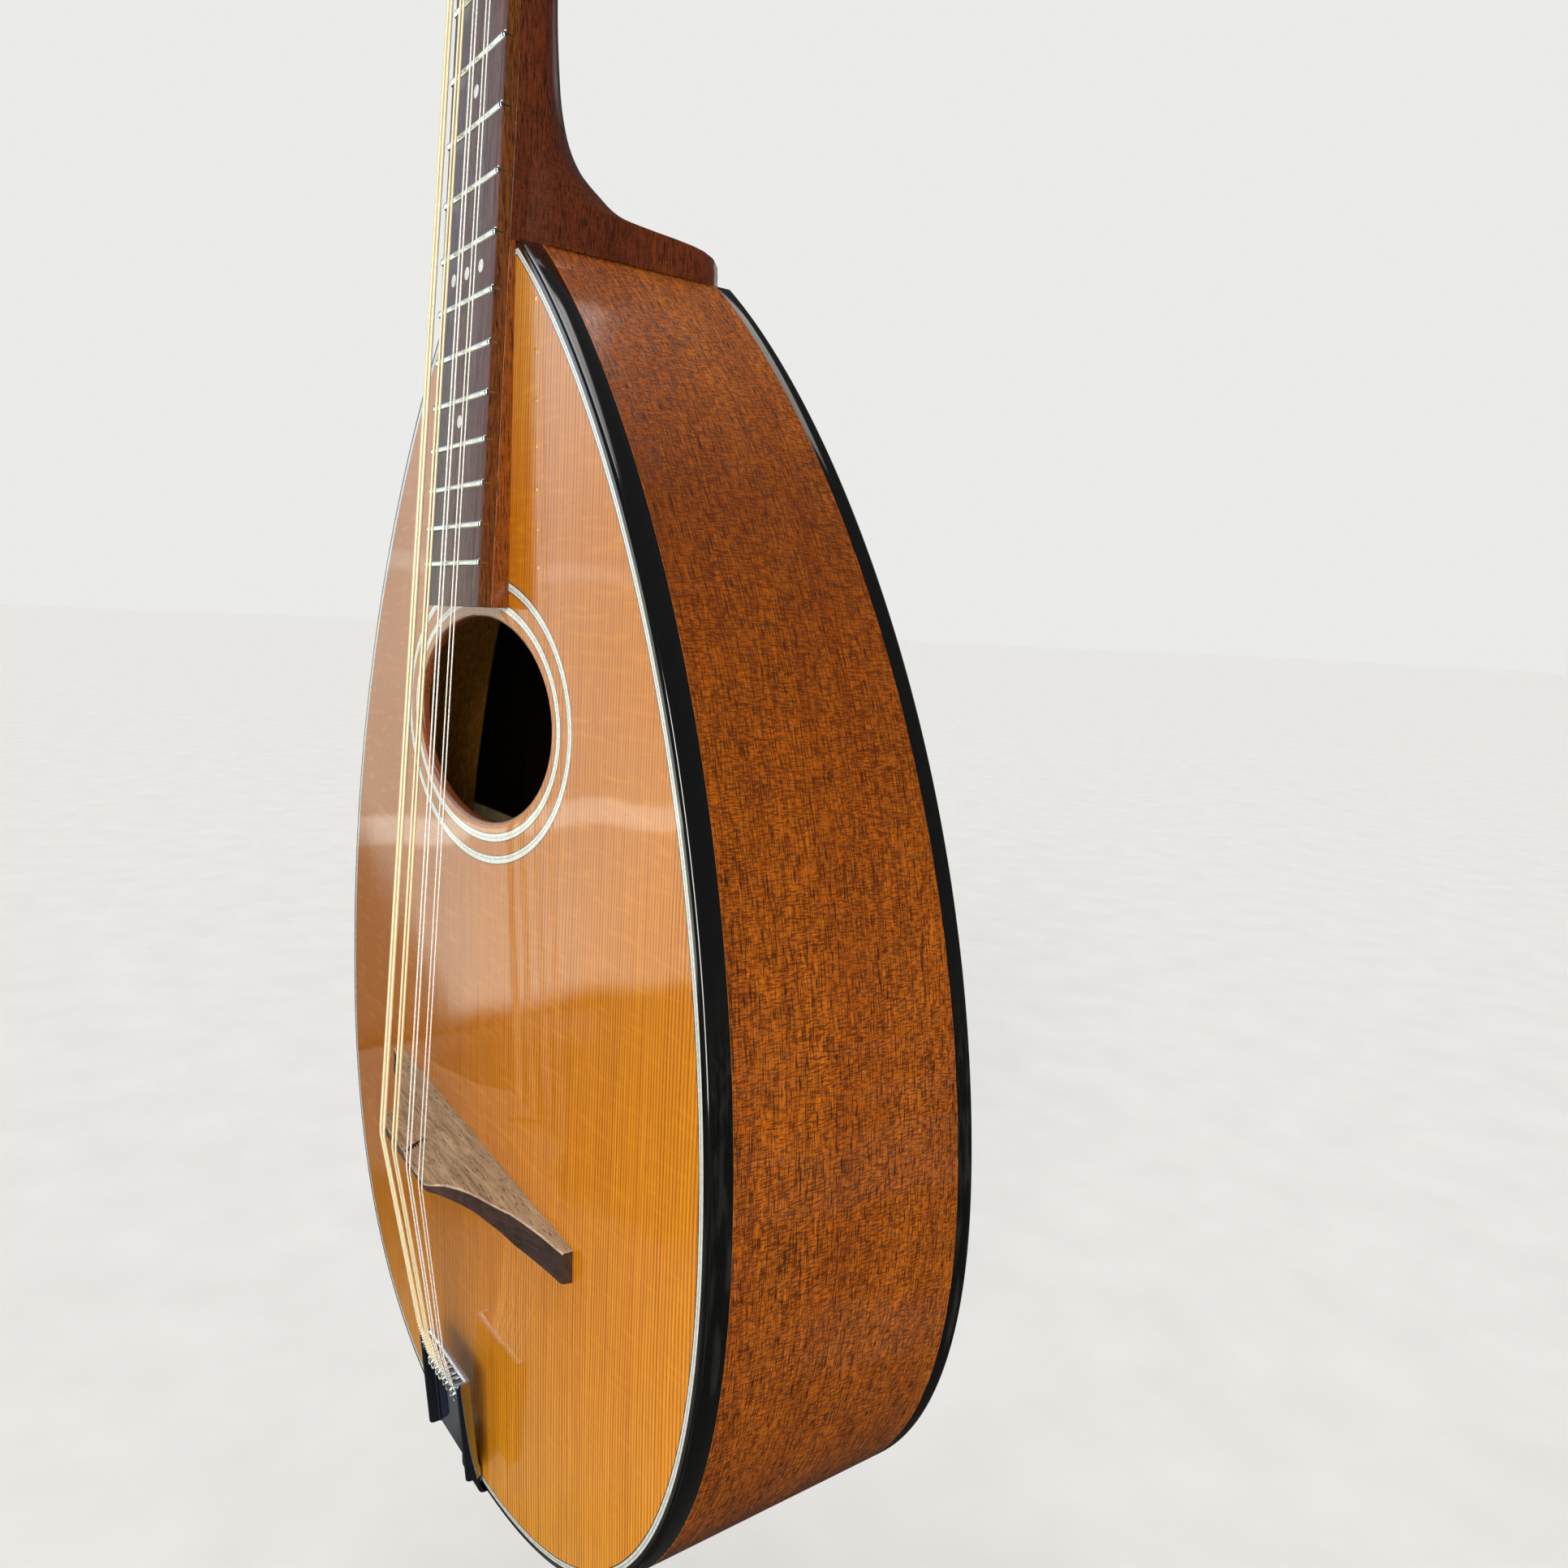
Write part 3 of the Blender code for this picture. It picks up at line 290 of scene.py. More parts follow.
        # painted shade: the sides are darkened between the shoulder and the middle
        z = m.sep(m.coords())[2]
        side_painted_shade = m.math('MULTIPLY', m.maprange(z, -0.50, -0.36, 0.0, 1.0), m.maprange(z, -0.350, -0.290, 1.0, 0.0))
        col = m.mix(m.math('MULTIPLY', side_painted_shade, 0.50), col, (0.060, 0.010, 0.0006))
    h = m.math('ADD', m.math('MULTIPLY', pore, -1.0), m.math('MULTIPLY', ripl, -0.3))
    soft = m.noise(v, 42.0, 2.0, 0.5)
    hh = m.math('ADD', m.math('MULTIPLY', pore, -0.06), m.math('MULTIPLY', soft, 1.0))
    m.set(color=col, rough=m.maprange(streak, 0.3, 0.7, 0.34, 0.46), normal=m.bump(h, 0.35, 0.00012), spec=0.12, coat=coat,
          coat_rough=gloss, coat_normal=m.bump(hh, 0.25, 0.0004))
    return m.m


def rosewood(name, light=(112, 82, 70), dark=(46, 30, 26), rough=0.42, polish=0.0, fine=1.0, along='z'):
    m = Mat(name)
    x, y, z = m.sep(m.coords())
    if along == 'x':
        x, z = z, x
    st = m.noise(m.comb(m.math('MULTIPLY', x, 420.0 * fine), m.math('MULTIPLY', y, 420.0 * fine), m.math('MULTIPLY', z, 10.0)), 1.0, 4.0, 0.62, 0.6)
    st2 = m.noise(m.comb(m.math('MULTIPLY', x, 1500.0), m.math('MULTIPLY', y, 1500.0), m.math('MULTIPLY', z, 60.0)), 1.0, 3.0, 0.6)
    po = m.noise(m.comb(m.math('MULTIPLY', x, 2400.0), m.math('MULTIPLY', y, 2400.0), m.math('MULTIPLY', z, 160.0)), 1.0, 2.0, 0.5)
    pore = m.ramp(po, [(0.0, 0.0), (0.58, 0.0), (0.66, 1.0), (1.0, 1.0)])
    col = m.mix(m.maprange(st, 0.3, 0.7, 0.0, 1.0), srgb(*dark), srgb(*light))
    col = m.mix(m.maprange(st2, 0.35, 0.7, 0.0, 0.35), col, srgb(*dark))
    col = m.mix(m.math('MULTIPLY', pore, 0.7), col, srgb(22, 13, 11))
    h = m.math('ADD', m.math('MULTIPLY', pore, -1.0), m.math('MULTIPLY', st2, 0.25))
    m.set(color=col, rough=m.maprange(st2, 0.3, 0.7, rough - 0.06, rough + 0.1), normal=m.bump(h, 0.5, 0.00018), spec=0.45, coat=polish,
          coat_rough=0.2)
    return m.m


def plastic(name, col, rough=0.12, wob=0.3, coat=0.6):
    m = Mat(name)
    v = m.coords()
    fine = m.noise(v, 900.0, 2.0, 0.5)
    slow = m.noise(v, 60.0, 2.0, 0.5)
    c = m.mix(m.maprange(fine, 0.3, 0.7, 0.0, 0.25), srgb(*col), srgb(*[min(255, int(k * 1.25) + 6) for k in col]))
    m.set(color=c, rough=m.maprange(fine, 0.3, 0.7, rough * 0.8, rough * 1.3), normal=m.bump(slow, wob, 0.0003), coat=coat,
          coat_rough=0.04, spec=0.5)
    return m.m


def metal(name, col, rough=0.15, scratch=0.3, along='z', aniso=0.0, tarnish=0.0):
    m = Mat(name)
    v = m.coords()
    x, y, z = m.sep(v)
    if along == 'x':
        sv = m.comb(m.math('MULTIPLY', x, 60.0), m.math('MULTIPLY', y, 2600.0), m.math('MULTIPLY', z, 2600.0))
    else:
        sv = m.comb(m.math('MULTIPLY', x, 2600.0), m.math('MULTIPLY', y, 2600.0), m.math('MULTIPLY', z, 60.0))
    sc = m.noise(sv, 1.0, 3.0, 0.6)
    cloud = m.noise(v, 160.0, 3.0, 0.6)
    c = m.mix(m.maprange(cloud, 0.35, 0.7, 0.0, tarnish), srgb(*col), srgb(*[int(k * 0.62) for k in col]))
    m.set(color=c, metal=1.0, rough=m.maprange(sc, 0.3, 0.7, rough * 0.75, rough * 1.35), normal=m.bump(sc, scratch, 0.00003), aniso=aniso)
    return m.m


def wound(name, col, wire=0.0003):
    """Round-wound string: turns of thin wire, from the attribute 'along' in metres."""
    m = Mat(name)
    a, b, c = m.sep(m.attr("along"))
    ph = m.math('MULTIPLY', m.math('ADD', m.math('MULTIPLY', a, 1.0 / wire), b), 2 * pi)
    s = m.math('SINE', ph)
    h = m.maprange(s, -1.0, 1.0, 0.0, 1.0)
    dirt = m.noise(m.coords(), 700.0, 2.0)
    # painted shade: the grooves between the turns are coloured darker
    col2 = m.mix(m.maprange(s, -1.0, 0.0, 0.45, 0.0), srgb(*col), srgb(*[int(k * 0.6) for k in col]))
    col2 = m.mix(m.maprange(dirt, 0.4, 0.7, 0.0, 0.12), col2, srgb(*[int(k * 0.7) for k in col]))
    m.set(color=col2, metal=0.35, rough=0.30, normal=m.bump(h, 0.25, 0.0001))
    return m.m


def pearl(name):
    m = Mat(name)
    v = m.coords()
    n1 = m.noise(v, 520.0, 3.0, 0.6, 1.2)
    c = m.ramp(n1, [(0.3, srgb(214, 210, 214)), (0.5, srgb(240, 236, 226)), (0.62, srgb(216, 228, 232)), (0.75, srgb(236, 222, 228))])
    m.set(color=c, rough=0.2, coat=0.8, coat_rough=0.05, normal=m.bump(n1, 0.2, 0.0001))
    return m.m


M_TOP = spruce("lacquered_spruce")
M_HOLE = mahogany("hole_edge_wood", light=(150, 84, 46), mid=(124, 62, 30), dark=(80, 36, 16), ripple=0.0, figure=0.3)
M_BARE = spruce("bare_spruce", lacquer=False)
M_SIDE = mahogany("side_mahogany", use_attr=True, light=(192, 102, 9), mid=(167, 82, 4), dark=(72, 27, 1), ripple=0.95, figure=0.8)
M_BACK = mahogany("back_mahogany", light=(190, 105, 12), mid=(166, 85, 6), dark=(72, 28, 1))
M_NECK = mahogany("neck_mahogany", light=(112, 51, 18), mid=(86, 36, 10), dark=(44, 16, 5), ripple=0.4, figure=0.7)


def inner(name):
    """Raw wood inside, with painted shade making the deep half nearly black; a pale edge below it."""
    m = Mat(name)
    v = m.coords()
    x, y, z = m.sep(v)
    n = m.noise(m.comb(m.math('MULTIPLY', x, 900.0), m.math('MULTIPLY', y, 900.0), m.math('MULTIPLY', z, 60.0)), 1.0, 3.0, 0.6)
    raw = m.ramp(n, [(0.3, srgb(186, 116, 40)), (0.7, srgb(232, 160, 66))])
    # painted shade: deeper than this the inner wall is coloured nearly black
    deep = m.maprange(y, 0.0345, 0.0355, 0.0, 1.0)
    col = m.mix(deep, raw, m.ramp(n, [(0.3, (0.004, 0.002, 0.001)), (0.7, (0.007, 0.004, 0.002))]))
    low = m.maprange(m.math('ADD', z, m.math('MULTIPLY', y, 0.45)), -0.4605, -0.4615, 0.0, 1.0)
    end = m.maprange(z, -0.500, -0.490, 0.0, 1.0)
    col = m.mix(m.math('MULTIPLY', m.math('MULTIPLY', deep, low), m.math('MULTIPLY', end, m.math('LESS_THAN', x, 0.0))), col, m.ramp(n, [(0.3, srgb(196, 172, 124)), (0.7, srgb(228, 210, 164))]))
    return m.set(color=col, rough=0.75, spec=0.2)


M_INNER = inner("inner_wood")
M_BLOCK = mahogany("block_mahogany", light=(176, 118, 74), mid=(150, 94, 54), dark=(110, 62, 36), coat=0.0, gloss=0.3, ripple=0.2, figure=0.2)
M_BOARD = rosewood("board_rosewood", light=(112, 76, 68), dark=(54, 32, 30), rough=0.36, polish=0.22)
# painted light: the bridge's front faces take a pale copy of the rosewood, lit and with a painted sheen; its top, back
# and ends a dark copy with painted shade
M_BRIDGE = rosewood("bridge_front_lit_rosewood", light=(192, 166, 132), dark=(120, 101, 78), rough=0.46, polish=0.10, fine=1.3, along='x')
M_BRIDGE_TOP_SHADED = rosewood("bridge_top_shaded_rosewood", light=(76, 54, 44), dark=(42, 29, 24), rough=0.38, polish=0.2, fine=1.3, along='x')
# painted highlight: a pale copy of the rosewood along the rounded front edge of the wings
M_BRIDGE_EDGE_HIGHLIGHT = rosewood("bridge_edge_highlight", light=(206, 182, 156), dark=(150, 118, 96), rough=0.3, polish=0.4, fine=1.3, along='x')
M_BRIDGE_STEP = rosewood("bridge_step_shade", light=(38, 26, 20), dark=(20, 13, 10), rough=0.6, along='x')
M_VENEER = rosewood("veneer_rosewood", light=(110, 74, 58), dark=(40, 24, 18), rough=0.3, polish=1.0)
M_BLACK = plastic("black_plastic", (9, 9, 9), 0.10, 0.35, 0.8)
M_WHITE = plastic("white_plastic", (214, 216, 206), 0.25, 0.1, 0.9)
M_GREY = plastic("grey_line", (126, 136, 132), 0.3, 0.1, 0.9)
M_DARK = plastic("dark_line", (44, 38, 34), 0.3, 0.1, 0.9)
M_BONE = plastic("bone", (226, 214, 184), 0.35, 0.15, 0.3)
M_BUTTON = plastic("button_plastic", (228, 220, 200), 0.22, 0.25, 0.7)
# painted shade: the tray, tongue and beads take a darker, bluer copy of the chrome than the hooks, whose bright copy is
# a painted highlight
M_CHROME = metal("chrome", (150, 161, 184), 0.05, 0.05)
M_HOOK = metal("hook_chrome", (240, 244, 250), 0.14, 0.0)
M_NICKEL = metal("nickel", (190, 186, 178), 0.22, 0.25, tarnish=0.25)
M_FRET = metal("fret_nickel", (236, 240, 236), 0.13, 0.1, along='x', tarnish=0.1)
M_BRASS = metal("gear_brass", (206, 170, 96), 0.24, 0.25, tarnish=0.3)
M_STEEL = metal("steel", (150, 150, 152), 0.3, 0.4, tarnish=0.2)
M_PLAIN = plastic("plain_string", (226, 224, 214), 0.26, 0.0, 0.0)
M_PLAIN.node_tree.nodes["Principled BSDF"].inputs["Metallic"].default_value = 0.15
M_WOUND = wound("wound_string", (255, 240, 196))
M_LOOP = metal("loop_wire", (240, 240, 236), 0.25, 0.0)
M_LOOPW = wound("loop_wire_bronze", (252, 244, 222))
M_PEARL = pearl("pearl_dot")
M_TANG = metal("fret_tang", (176, 158, 120), 0.35, 0.3, tarnish=0.4)


# ------------------------------------------------------------ mesh kit
def make(name, shapes, mats, body=INST, replaces=(), sharp=35.0, attrs=None, bevel=None, flat=False, sub=0,
         fix=True):
    """shapes: list of (verts in mm as n x 3, faces, material index). One piece."""
    verts, faces, idx = [], [], []
    for s in shapes:
        v, f = s[0], s[1]
        k = len(verts)
        verts += [W(*p) for p in v]
        faces += [tuple(i + k for i in g) for g in f]
        mi = s[2] if len(s) > 2 else 0
        idx += (list(mi) if isinstance(mi, (list, tuple, np.ndarray)) else [mi] * len(f))
    me = bpy.data.meshes.new(name)
    me.from_pydata(verts, [], faces)
    me.polygons.foreach_set("material_index", idx)
    if attrs:
        for an, vals in attrs.items():
            at = me.attributes.new(an, 'FLOAT_VECTOR', 'POINT')
            at.data.foreach_set("vector", np.asarray(vals, np.float32).ravel())
    if fix:
        bm = bmesh.new()
        bm.from_mesh(me)
        bmesh.ops.recalc_face_normals(bm, faces=bm.faces)
        bm.to_mesh(me)
        bm.free()
    me.update()
    if not flat:
        me.shade_smooth()
        me.set_sharp_from_angle(angle=radians(sharp))
    for mt in (mats if isinstance(mats, (list, tuple)) else [mats]):
        me.materials.append(mt)
    o = bpy.data.objects.new(name, me)
    bpy.context.scene.collection.objects.link(o)
    if bevel:
        b = o.modifiers.new("bevel", 'BEVEL')
        b.width = bevel[0] * MM
        b.segments = bevel[1]
        b.limit_method = 'ANGLE'
        b.angle_limit = radians(bevel[2] if len(bevel) > 2 else 40)
        b.harden_normals = False
    if sub:
        s = o.modifiers.new("sub", 'SUBSURF')
        s.levels = s.render_levels = sub
    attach(o, body)
    if replaces:
        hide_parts(*replaces)
    return o


def loft(loops, closed=False, caps=True, ring=True):
    """Quads between equal loops of (x, y, z) in mm."""
    n = len(loops[0])
    m = len(loops)
    verts = [tuple(map(float, p)) for l in loops for p in l]
    faces = []
    for i in range(m if closed else m - 1):
        a, b = i * n, ((i + 1) % m) * n
        for j in range(n if ring else n - 1):
            k = (j + 1) % n
            faces.append((a + j, a + k, b + k, b + j))
    if caps and not closed and ring:
        faces.append(tuple(range(n - 1, -1, -1)))
        faces.append(tuple((m - 1) * n + j for j in range(n)))
    return verts, faces


def pchip(rows, q):
    """Smooth monotone reading of (x, value) rows."""
    xs = np.array([r[0] for r in rows], float)
    ys = np.array([r[1] for r in rows], float)
    q = np.asarray(q, float)
    h = np.diff(xs)
    d = np.diff(ys) / h
    n = len(xs)
    s = np.zeros(n)
    s[0], s[-1] = d[0], d[-1]
    for i in range(1, n - 1):
        if d[i - 1] * d[i] > 0:
            w1, w2 = 2 * h[i] + h[i - 1], h[i] + 2 * h[i - 1]
            s[i] = (w1 + w2) / (w1 / d[i - 1] + w2 / d[i])
    i = np.clip(np.searchsorted(xs, q) - 1, 0, n - 2)
    t = np.clip((q - xs[i]) / h[i], 0, 1)
    return ((1 + 2 * t) * (1 - t) ** 2 * ys[i] + t * (1 - t) ** 2 * h[i] * s[i]
            + t * t * (3 - 2 * t) * ys[i + 1] + t * t * (t - 1) * h[i] * s[i + 1])


# ------------------------------------------------------------ outline and surfaces
HALF_WIDTH, WIDEST_Z = 149.2, 20.3
TAIL_Z, SHOULDER_X, SHOULDER_Z = -132.5, 19.1, 299.7
JOINT_Z = 295.2
LOWER = np.array(((0, TAIL_Z), (98.0, TAIL_Z), (HALF_WIDTH, -75.9), (HALF_WIDTH, WIDEST_Z)))
UPPER = np.array(((HALF_WIDTH, WIDEST_Z), (HALF_WIDTH, 165.8),
                  (SHOULDER_X + 58.95 * sin(0.94), SHOULDER_Z - 58.95 * cos(0.94)), (SHOULDER_X, SHOULDER_Z)))


def bez(p, t):
    t = np.asarray(t)[:, None]
    s = 1 - t
    return s ** 3 * p[0] + 3 * s * s * t * p[1] + 3 * s * t * t * p[2] + t ** 3 * p[3]


def dbez(p, t):
    t = np.asarray(t)[:, None]
    s = 1 - t
    return 3 * s * s * (p[1] - p[0]) + 6 * s * t * (p[2] - p[1]) + 3 * t * t * (p[3] - p[2])


T = np.linspace(0, 1, 1501)
FINE = np.vstack([bez(LOWER, T), bez(UPPER, T[1:])])
DF = np.vstack([dbez(LOWER, T), dbez(UPPER, T[1:])])
NRM = np.stack([DF[:, 1], -DF[:, 0]], 1)
NRM /= np.linalg.norm(NRM, axis=1)[:, None]


def half(inset, n):
    """Treble half outline, inset, as n+1 (x, z) points from the tail to the joint."""
    p = FINE - inset * NRM
    ok = (p[:, 1] <= JOINT_Z - inset) | (np.arange(len(p)) < 2400)
    k = int(np.argmin(np.abs(p[2300:, 1] - (JOINT_Z - inset)))) + 2300
    # the same stations for every inset, so that the rings stay parallel
    base = FINE[:k + 1]
    seg = np.concatenate([[0], np.cumsum(np.linalg.norm(np.diff(base, axis=0), axis=1))])
    want = np.linspace(0, seg[-1], n + 1)
    idx = np.interp(want, seg, np.arange(k + 1))
    q = np.stack([np.interp(idx, np.arange(k + 1), p[:k + 1, j]) for j in (0, 1)], 1)
    q[0, 0] = 0.0
    q[-1, 1] = JOINT_Z - inset
    return q, want


def loop(inset, n=170):
    q, _ = half(inset, n)
    return np.vstack([q, np.stack([-q[1:, 0], q[1:, 1]], 1)[::-1]])


RIM = FINE[FINE[:, 1] <= JOINT_Z]
RA = np.arctan2(RIM[:, 0], RIM[:, 1] - 50.0)[::-1]
RR = np.hypot(RIM[:, 0], RIM[:, 1] - 50.0)[::-1]
RA = np.concatenate([[0.0], RA])
RR = np.concatenate([[JOINT_Z - 50.0], RR])


def dome(x, z):
    x, z = np.asarray(x, float), np.asarray(z, float)
    r = np.hypot(x, z - 50.0)
    rr = np.interp(np.arctan2(np.abs(x), z - 50.0), RA, RR)
    return -2.15 * np.clip(1 - (r / rr) ** 2, 0, None)


def back(z):
    return 94.6 - 0.059 * np.asarray(z, float)


HOLE_Z, HOLE_A, HOLE_B = 147.3, 55.8, 33.9
RINGS = (5.4, 12.7)
RING_HALF = 1.55


def at(xz, y):
    """Points on an outline at the depth y, as mm triples."""
    y = np.broadcast_to(y, (len(xz),))
    return np.stack([xz[:, 0], y, xz[:, 1]], 1)


def on_top(xz, drop=0.0):
    return at(xz, dome(xz[:, 0], xz[:, 1]) + drop)


# ------------------------------------------------------------ soundboard
EDGE_IN = 4.45
edge = loop(EDGE_IN)
ANG = np.arctan2(edge[:, 0], edge[:, 1] - HOLE_Z)


def oval(off):
    a, b = HOLE_A + off, HOLE_B + off
    r = a * b / np.sqrt((b * np.sin(ANG)) ** 2 + (a * np.cos(ANG)) ** 2)
    return np.stack([r * np.sin(ANG), HOLE_Z + r * np.cos(ANG)], 1)


loops = []
for off, drop in ((0.10, 3.0), (0.0, 2.9), (0.0, 2.0)):
    loops.append(on_top(oval(off), drop))
for k in range(7):
    a = pi / 2 * k / 6
    loops.append(on_top(oval(1.3 * (1 - cos(a))), 1.3 * (1 - sin(a))))
GROOVE = 1.2
for off in RINGS:
    loops += [on_top(oval(off - RING_HALF)), on_top(oval(off - RING_HALF), GROOVE),
              on_top(oval(off + RING_HALF), GROOVE), on_top(oval(off + RING_HALF))]
start = oval(RINGS[1] + RING_HALF)
for k in range(1, 31):
    t = (k / 30.0) ** 1.15
    loops.append(on_top(start + (edge - start) * t))
loops.append(on_top(edge, 1.5))
lower = loop(EDGE_IN + 0.8)
loops.append(on_top(lower, 1.5))
loops.append(on_top(lower, 3.0))
v, f = loft(loops, closed=True)
make("soundboard_wood", [(v, f, [1 if min(g) // len(ANG) < 9 and max(g) // len(ANG) < 11 else 0 for g in f])], [M_TOP, M_HOLE],
     replaces=("soundboard",), sharp=40)

# rosette rings: two white lines with thin dark lines between and around them
for name, off, widths in (("rosette_inner_lines", RINGS[0], ((0.34, 2), (1.20, 0), (0.22, 1), (0.94, 0), (0.40, 2))),
                          ("rosette_outer_lines", RINGS[1], ((0.34, 2), (0.78, 0), (0.26, 1), (1.32, 0), (0.40, 2)))):
    shapes = []
    o1 = off - RING_HALF
    total = sum(w for w, _ in widths)
    for w, mi in widths:
        o2 = o1 + w * 2 * RING_HALF / total
        lp = [on_top(oval(o1), GROOVE - 0.02), on_top(oval(o1), -0.004), on_top(oval((o1 + o2) / 2), -0.012), on_top(oval(o2), -0.004),
              on_top(oval(o2), GROOVE - 0.02)]
        v, f = loft(lp, closed=True)
        shapes.append((v, f, mi))
        o1 = o2
    make(name, shapes, [M_WHITE, M_GREY, M_DARK], replaces=("rosette_inner" if "inner" in name else "rosette_outer",),
         sharp=50)

# ------------------------------------------------------------ purfling and bindings
shapes = []
i1 = 2.45
for w, mi in ((0.70, 0), (0.24, 1), (0.72, 0), (0.34, 2)):
    i2 = i1 + w
    a, b, c = loop(i1), loop(i2), loop((i1 + i2) / 2)
    v, f = loft([on_top(a, 1.45), on_top(a, 0.0), on_top(c, -0.012), on_top(b, 0.0), on_top(b, 1.45)], closed=True)
    shapes.append((v, f, mi))
    i1 = i2
make("purfling_lines", shapes, [M_WHITE, M_GREY, M_DARK], replaces=("purfling",), sharp=50)

R_EDGE = 1.35
prof = [(2.0, 7.5), (0.06, 7.5), (0.0, 7.42)]
prof += [(R_EDGE * (1 - cos(a)), R_EDGE * (1 - sin(a))) for a in np.linspace(0, pi / 2, 9)]
prof += [(2.45, 0.0), (2.45, 1.5), (2.0, 1.6)]
loops = [at(loop(i), y) for i, y in prof]
make("binding_top_strip", [loft(loops, closed=True)], M_BLACK, replaces=("binding_top",), sharp=40)
prof = [(2.0, 6.4), (0.06, 6.4), (0.0, 6.32)]
prof += [(R_EDGE * (1 - cos(a)), R_EDGE * (1 - sin(a))) for a in np.linspace(0, pi / 2, 9)]
prof += [(2.3, 0.0), (2.3, 3.0), (2.0, 3.2)]
loops = []
for i, d in prof:
    q = loop(i)
    loops.append(at(q, back(q[:, 1]) - d))
make("binding_back_strip", [loft(loops, closed=True)], M_BLACK, replaces=("binding_back",), sharp=40)

# ------------------------------------------------------------ sides
NS = 220
qo, arc = half(0.0, NS)
qi, _ = half(2.0, NS)
for side, sg in (("treble", 1), ("bass", -1)):
    k0 = 10                                   # first station beside the tail wedge
    rows = 15
    o_pts, i_pts = qo[k0:].copy(), qi[k0:].copy()
    s_len = arc[k0:]
    o_pts = np.vstack([o_pts, [0.15, JOINT_Z]])
    i_pts = np.vstack([i_pts, [0.15, JOINT_Z - 2.0]])
    s_len = np.append(s_len, s_len[-1] + o_pts[-2, 0])
    t0 = 8.1 / o_pts[0, 0]
    o_pts[0] = (8.1, TAIL_Z + (o_pts[0, 1] - TAIL_Z) * t0 * t0)
    i_pts[0] = (8.1, TAIL_Z + 2.0 + (i_pts[0, 1] - TAIL_Z - 2.0) * t0 * t0)
    loops, grain = [], []
    for k in range(rows):
        t = k / (rows - 1)
        y = 7.5 + (back(o_pts[:, 1]) - 6.4 - 7.5) * t
        loops.append(np.stack([sg * o_pts[:, 0], y, o_pts[:, 1]], 1))
        grain += [(sg * 0.2, yy * MM, ss * MM) for yy, ss in zip(y, s_len)]
    for k in range(rows):
        t = 1 - k / (rows - 1)
        y = 7.5 + (back(i_pts[:, 1]) - 6.4 - 7.5) * t
        loops.append(np.stack([sg * i_pts[:, 0], y, i_pts[:, 1]], 1))
        grain += [(sg * 0.35, yy * MM, ss * MM) for yy, ss in zip(y, s_len)]
    n = len(o_pts)
    v, f = loft(loops, closed=True, ring=False)
    idx = []
    for g in f:
        rowid = g[0] // n
        idx.append(1 if rowid >= rows - 1 else 0)
    # ends
    f.append(tuple(r * n for r in range(2 * rows)))
    f.append(tuple(r * n + n - 1 for r in range(2 * rows - 1, -1, -1)))
    idx += [1, 1]
    make("side_%s_wood" % side, [(v, f, idx)], [M_SIDE, M_INNER], replaces=("side_" + side,),
         attrs={"grain": grain}, sharp=40)

# tail wedge: a black strip over the seam of the two sides
loops = []
for x in np.linspace(-8.0, 8.0, 9):
    z = TAIL_Z + 0.16 * (x / 8.0) ** 2
    loops.append([(x, 7.55, z + 2.0), (x, 7.55, z), (x, float(back(z)) - 6.45, z), (x, float(back(z)) - 6.45, z + 2.0)])
make("tail_wedge_strip", [loft(loops)], M_BLACK, replaces=("tail_wedge",))

# ------------------------------------------------------------ back
q = loop(2.3)
rings, grain = [], []
cz = 60.0
for t in np.linspace(1.0, 0.04, 16):
    p = np.stack([q[:, 0] * t, cz + (q[:, 1] - cz) * t], 1)
    rings.append(at(p, back(p[:, 1])))
for t in np.linspace(0.04, 1.0, 6):
    p = np.stack([q[:, 0] * t, cz + (q[:, 1] - cz) * t], 1)
    rings.append(at(p, back(p[:, 1]) - 3.0))
n = len(q)
v, f = loft(rings, closed=False, caps=False)
m = len(rings)
f.append(tuple(15 * n + j for j in range(n)))
f.append(tuple(16 * n + j for j in range(n - 1, -1, -1)))
f = [g for g in f if not (min(g) // n == 15 and max(g) // n == 16)]
for j in range(n):
    k = (j + 1) % n
    f.append(((m - 1) * n + j, (m - 1) * n + k, k, j))
idx = [1 if min(g) >= 16 * n else 0 for g in f]
grain = [(p[0] * MM + 0.5, 0.0, p[2] * MM) for p in v]
make("back_wood", [(v, f, idx)], [M_BACK, M_INNER], replaces=("back_plate",), attrs={"grain": grain}, sharp=40)


# ------------------------------------------------------------ neck
TILT = radians(16.7)
HEAD_Y, HEAD_Z = 8.5, 566.0
BOARD_T, STRIP_T = 4.4, 4.8


def fret_top(z):
    return -12.0 + 0.0468 * (z - 198.0)


def board_y(z):
    return fret_top(z) + 1.0


def board_half(z):
    return 23.5 - 0.0098 * (z - 198.0)


def head(u, v, w):
    """Headstock point as (x, y, z) in the bridge frame."""
    return (u, HEAD_Y + w * sin(TILT) - v * cos(TILT), HEAD_Z + w * cos(TILT) + v * sin(TILT))


HEEL_BACK = ((295.2, 77.2), (301.5, 77.2), (303.6, 76.7), (305.0, 75.2), (306.1, 72.0), (306.9, 66.0), (307.9, 54.5),
             (310.1, 44.0), (315.9, 35.5), (322.6, 28.7), (330.0, 24.9), (345.0, 21.1),
             (374.0, 19.0), (420.0, 20.9), (480.0, 23.4), (545.0, 26.2), (562.0, 26.7), (582.0, 27.2))
HEEL_HALF = ((295.2, 25.3), (306.0, 25.0), (318.0, 23.8), (332.0, 22.6), (345.0, 22.05), (380.0, 21.7), (420.0, 21.3), (480.0, 20.73),
             (545.0, 20.1), (562.0, 19.9), (582.0, 19.7))

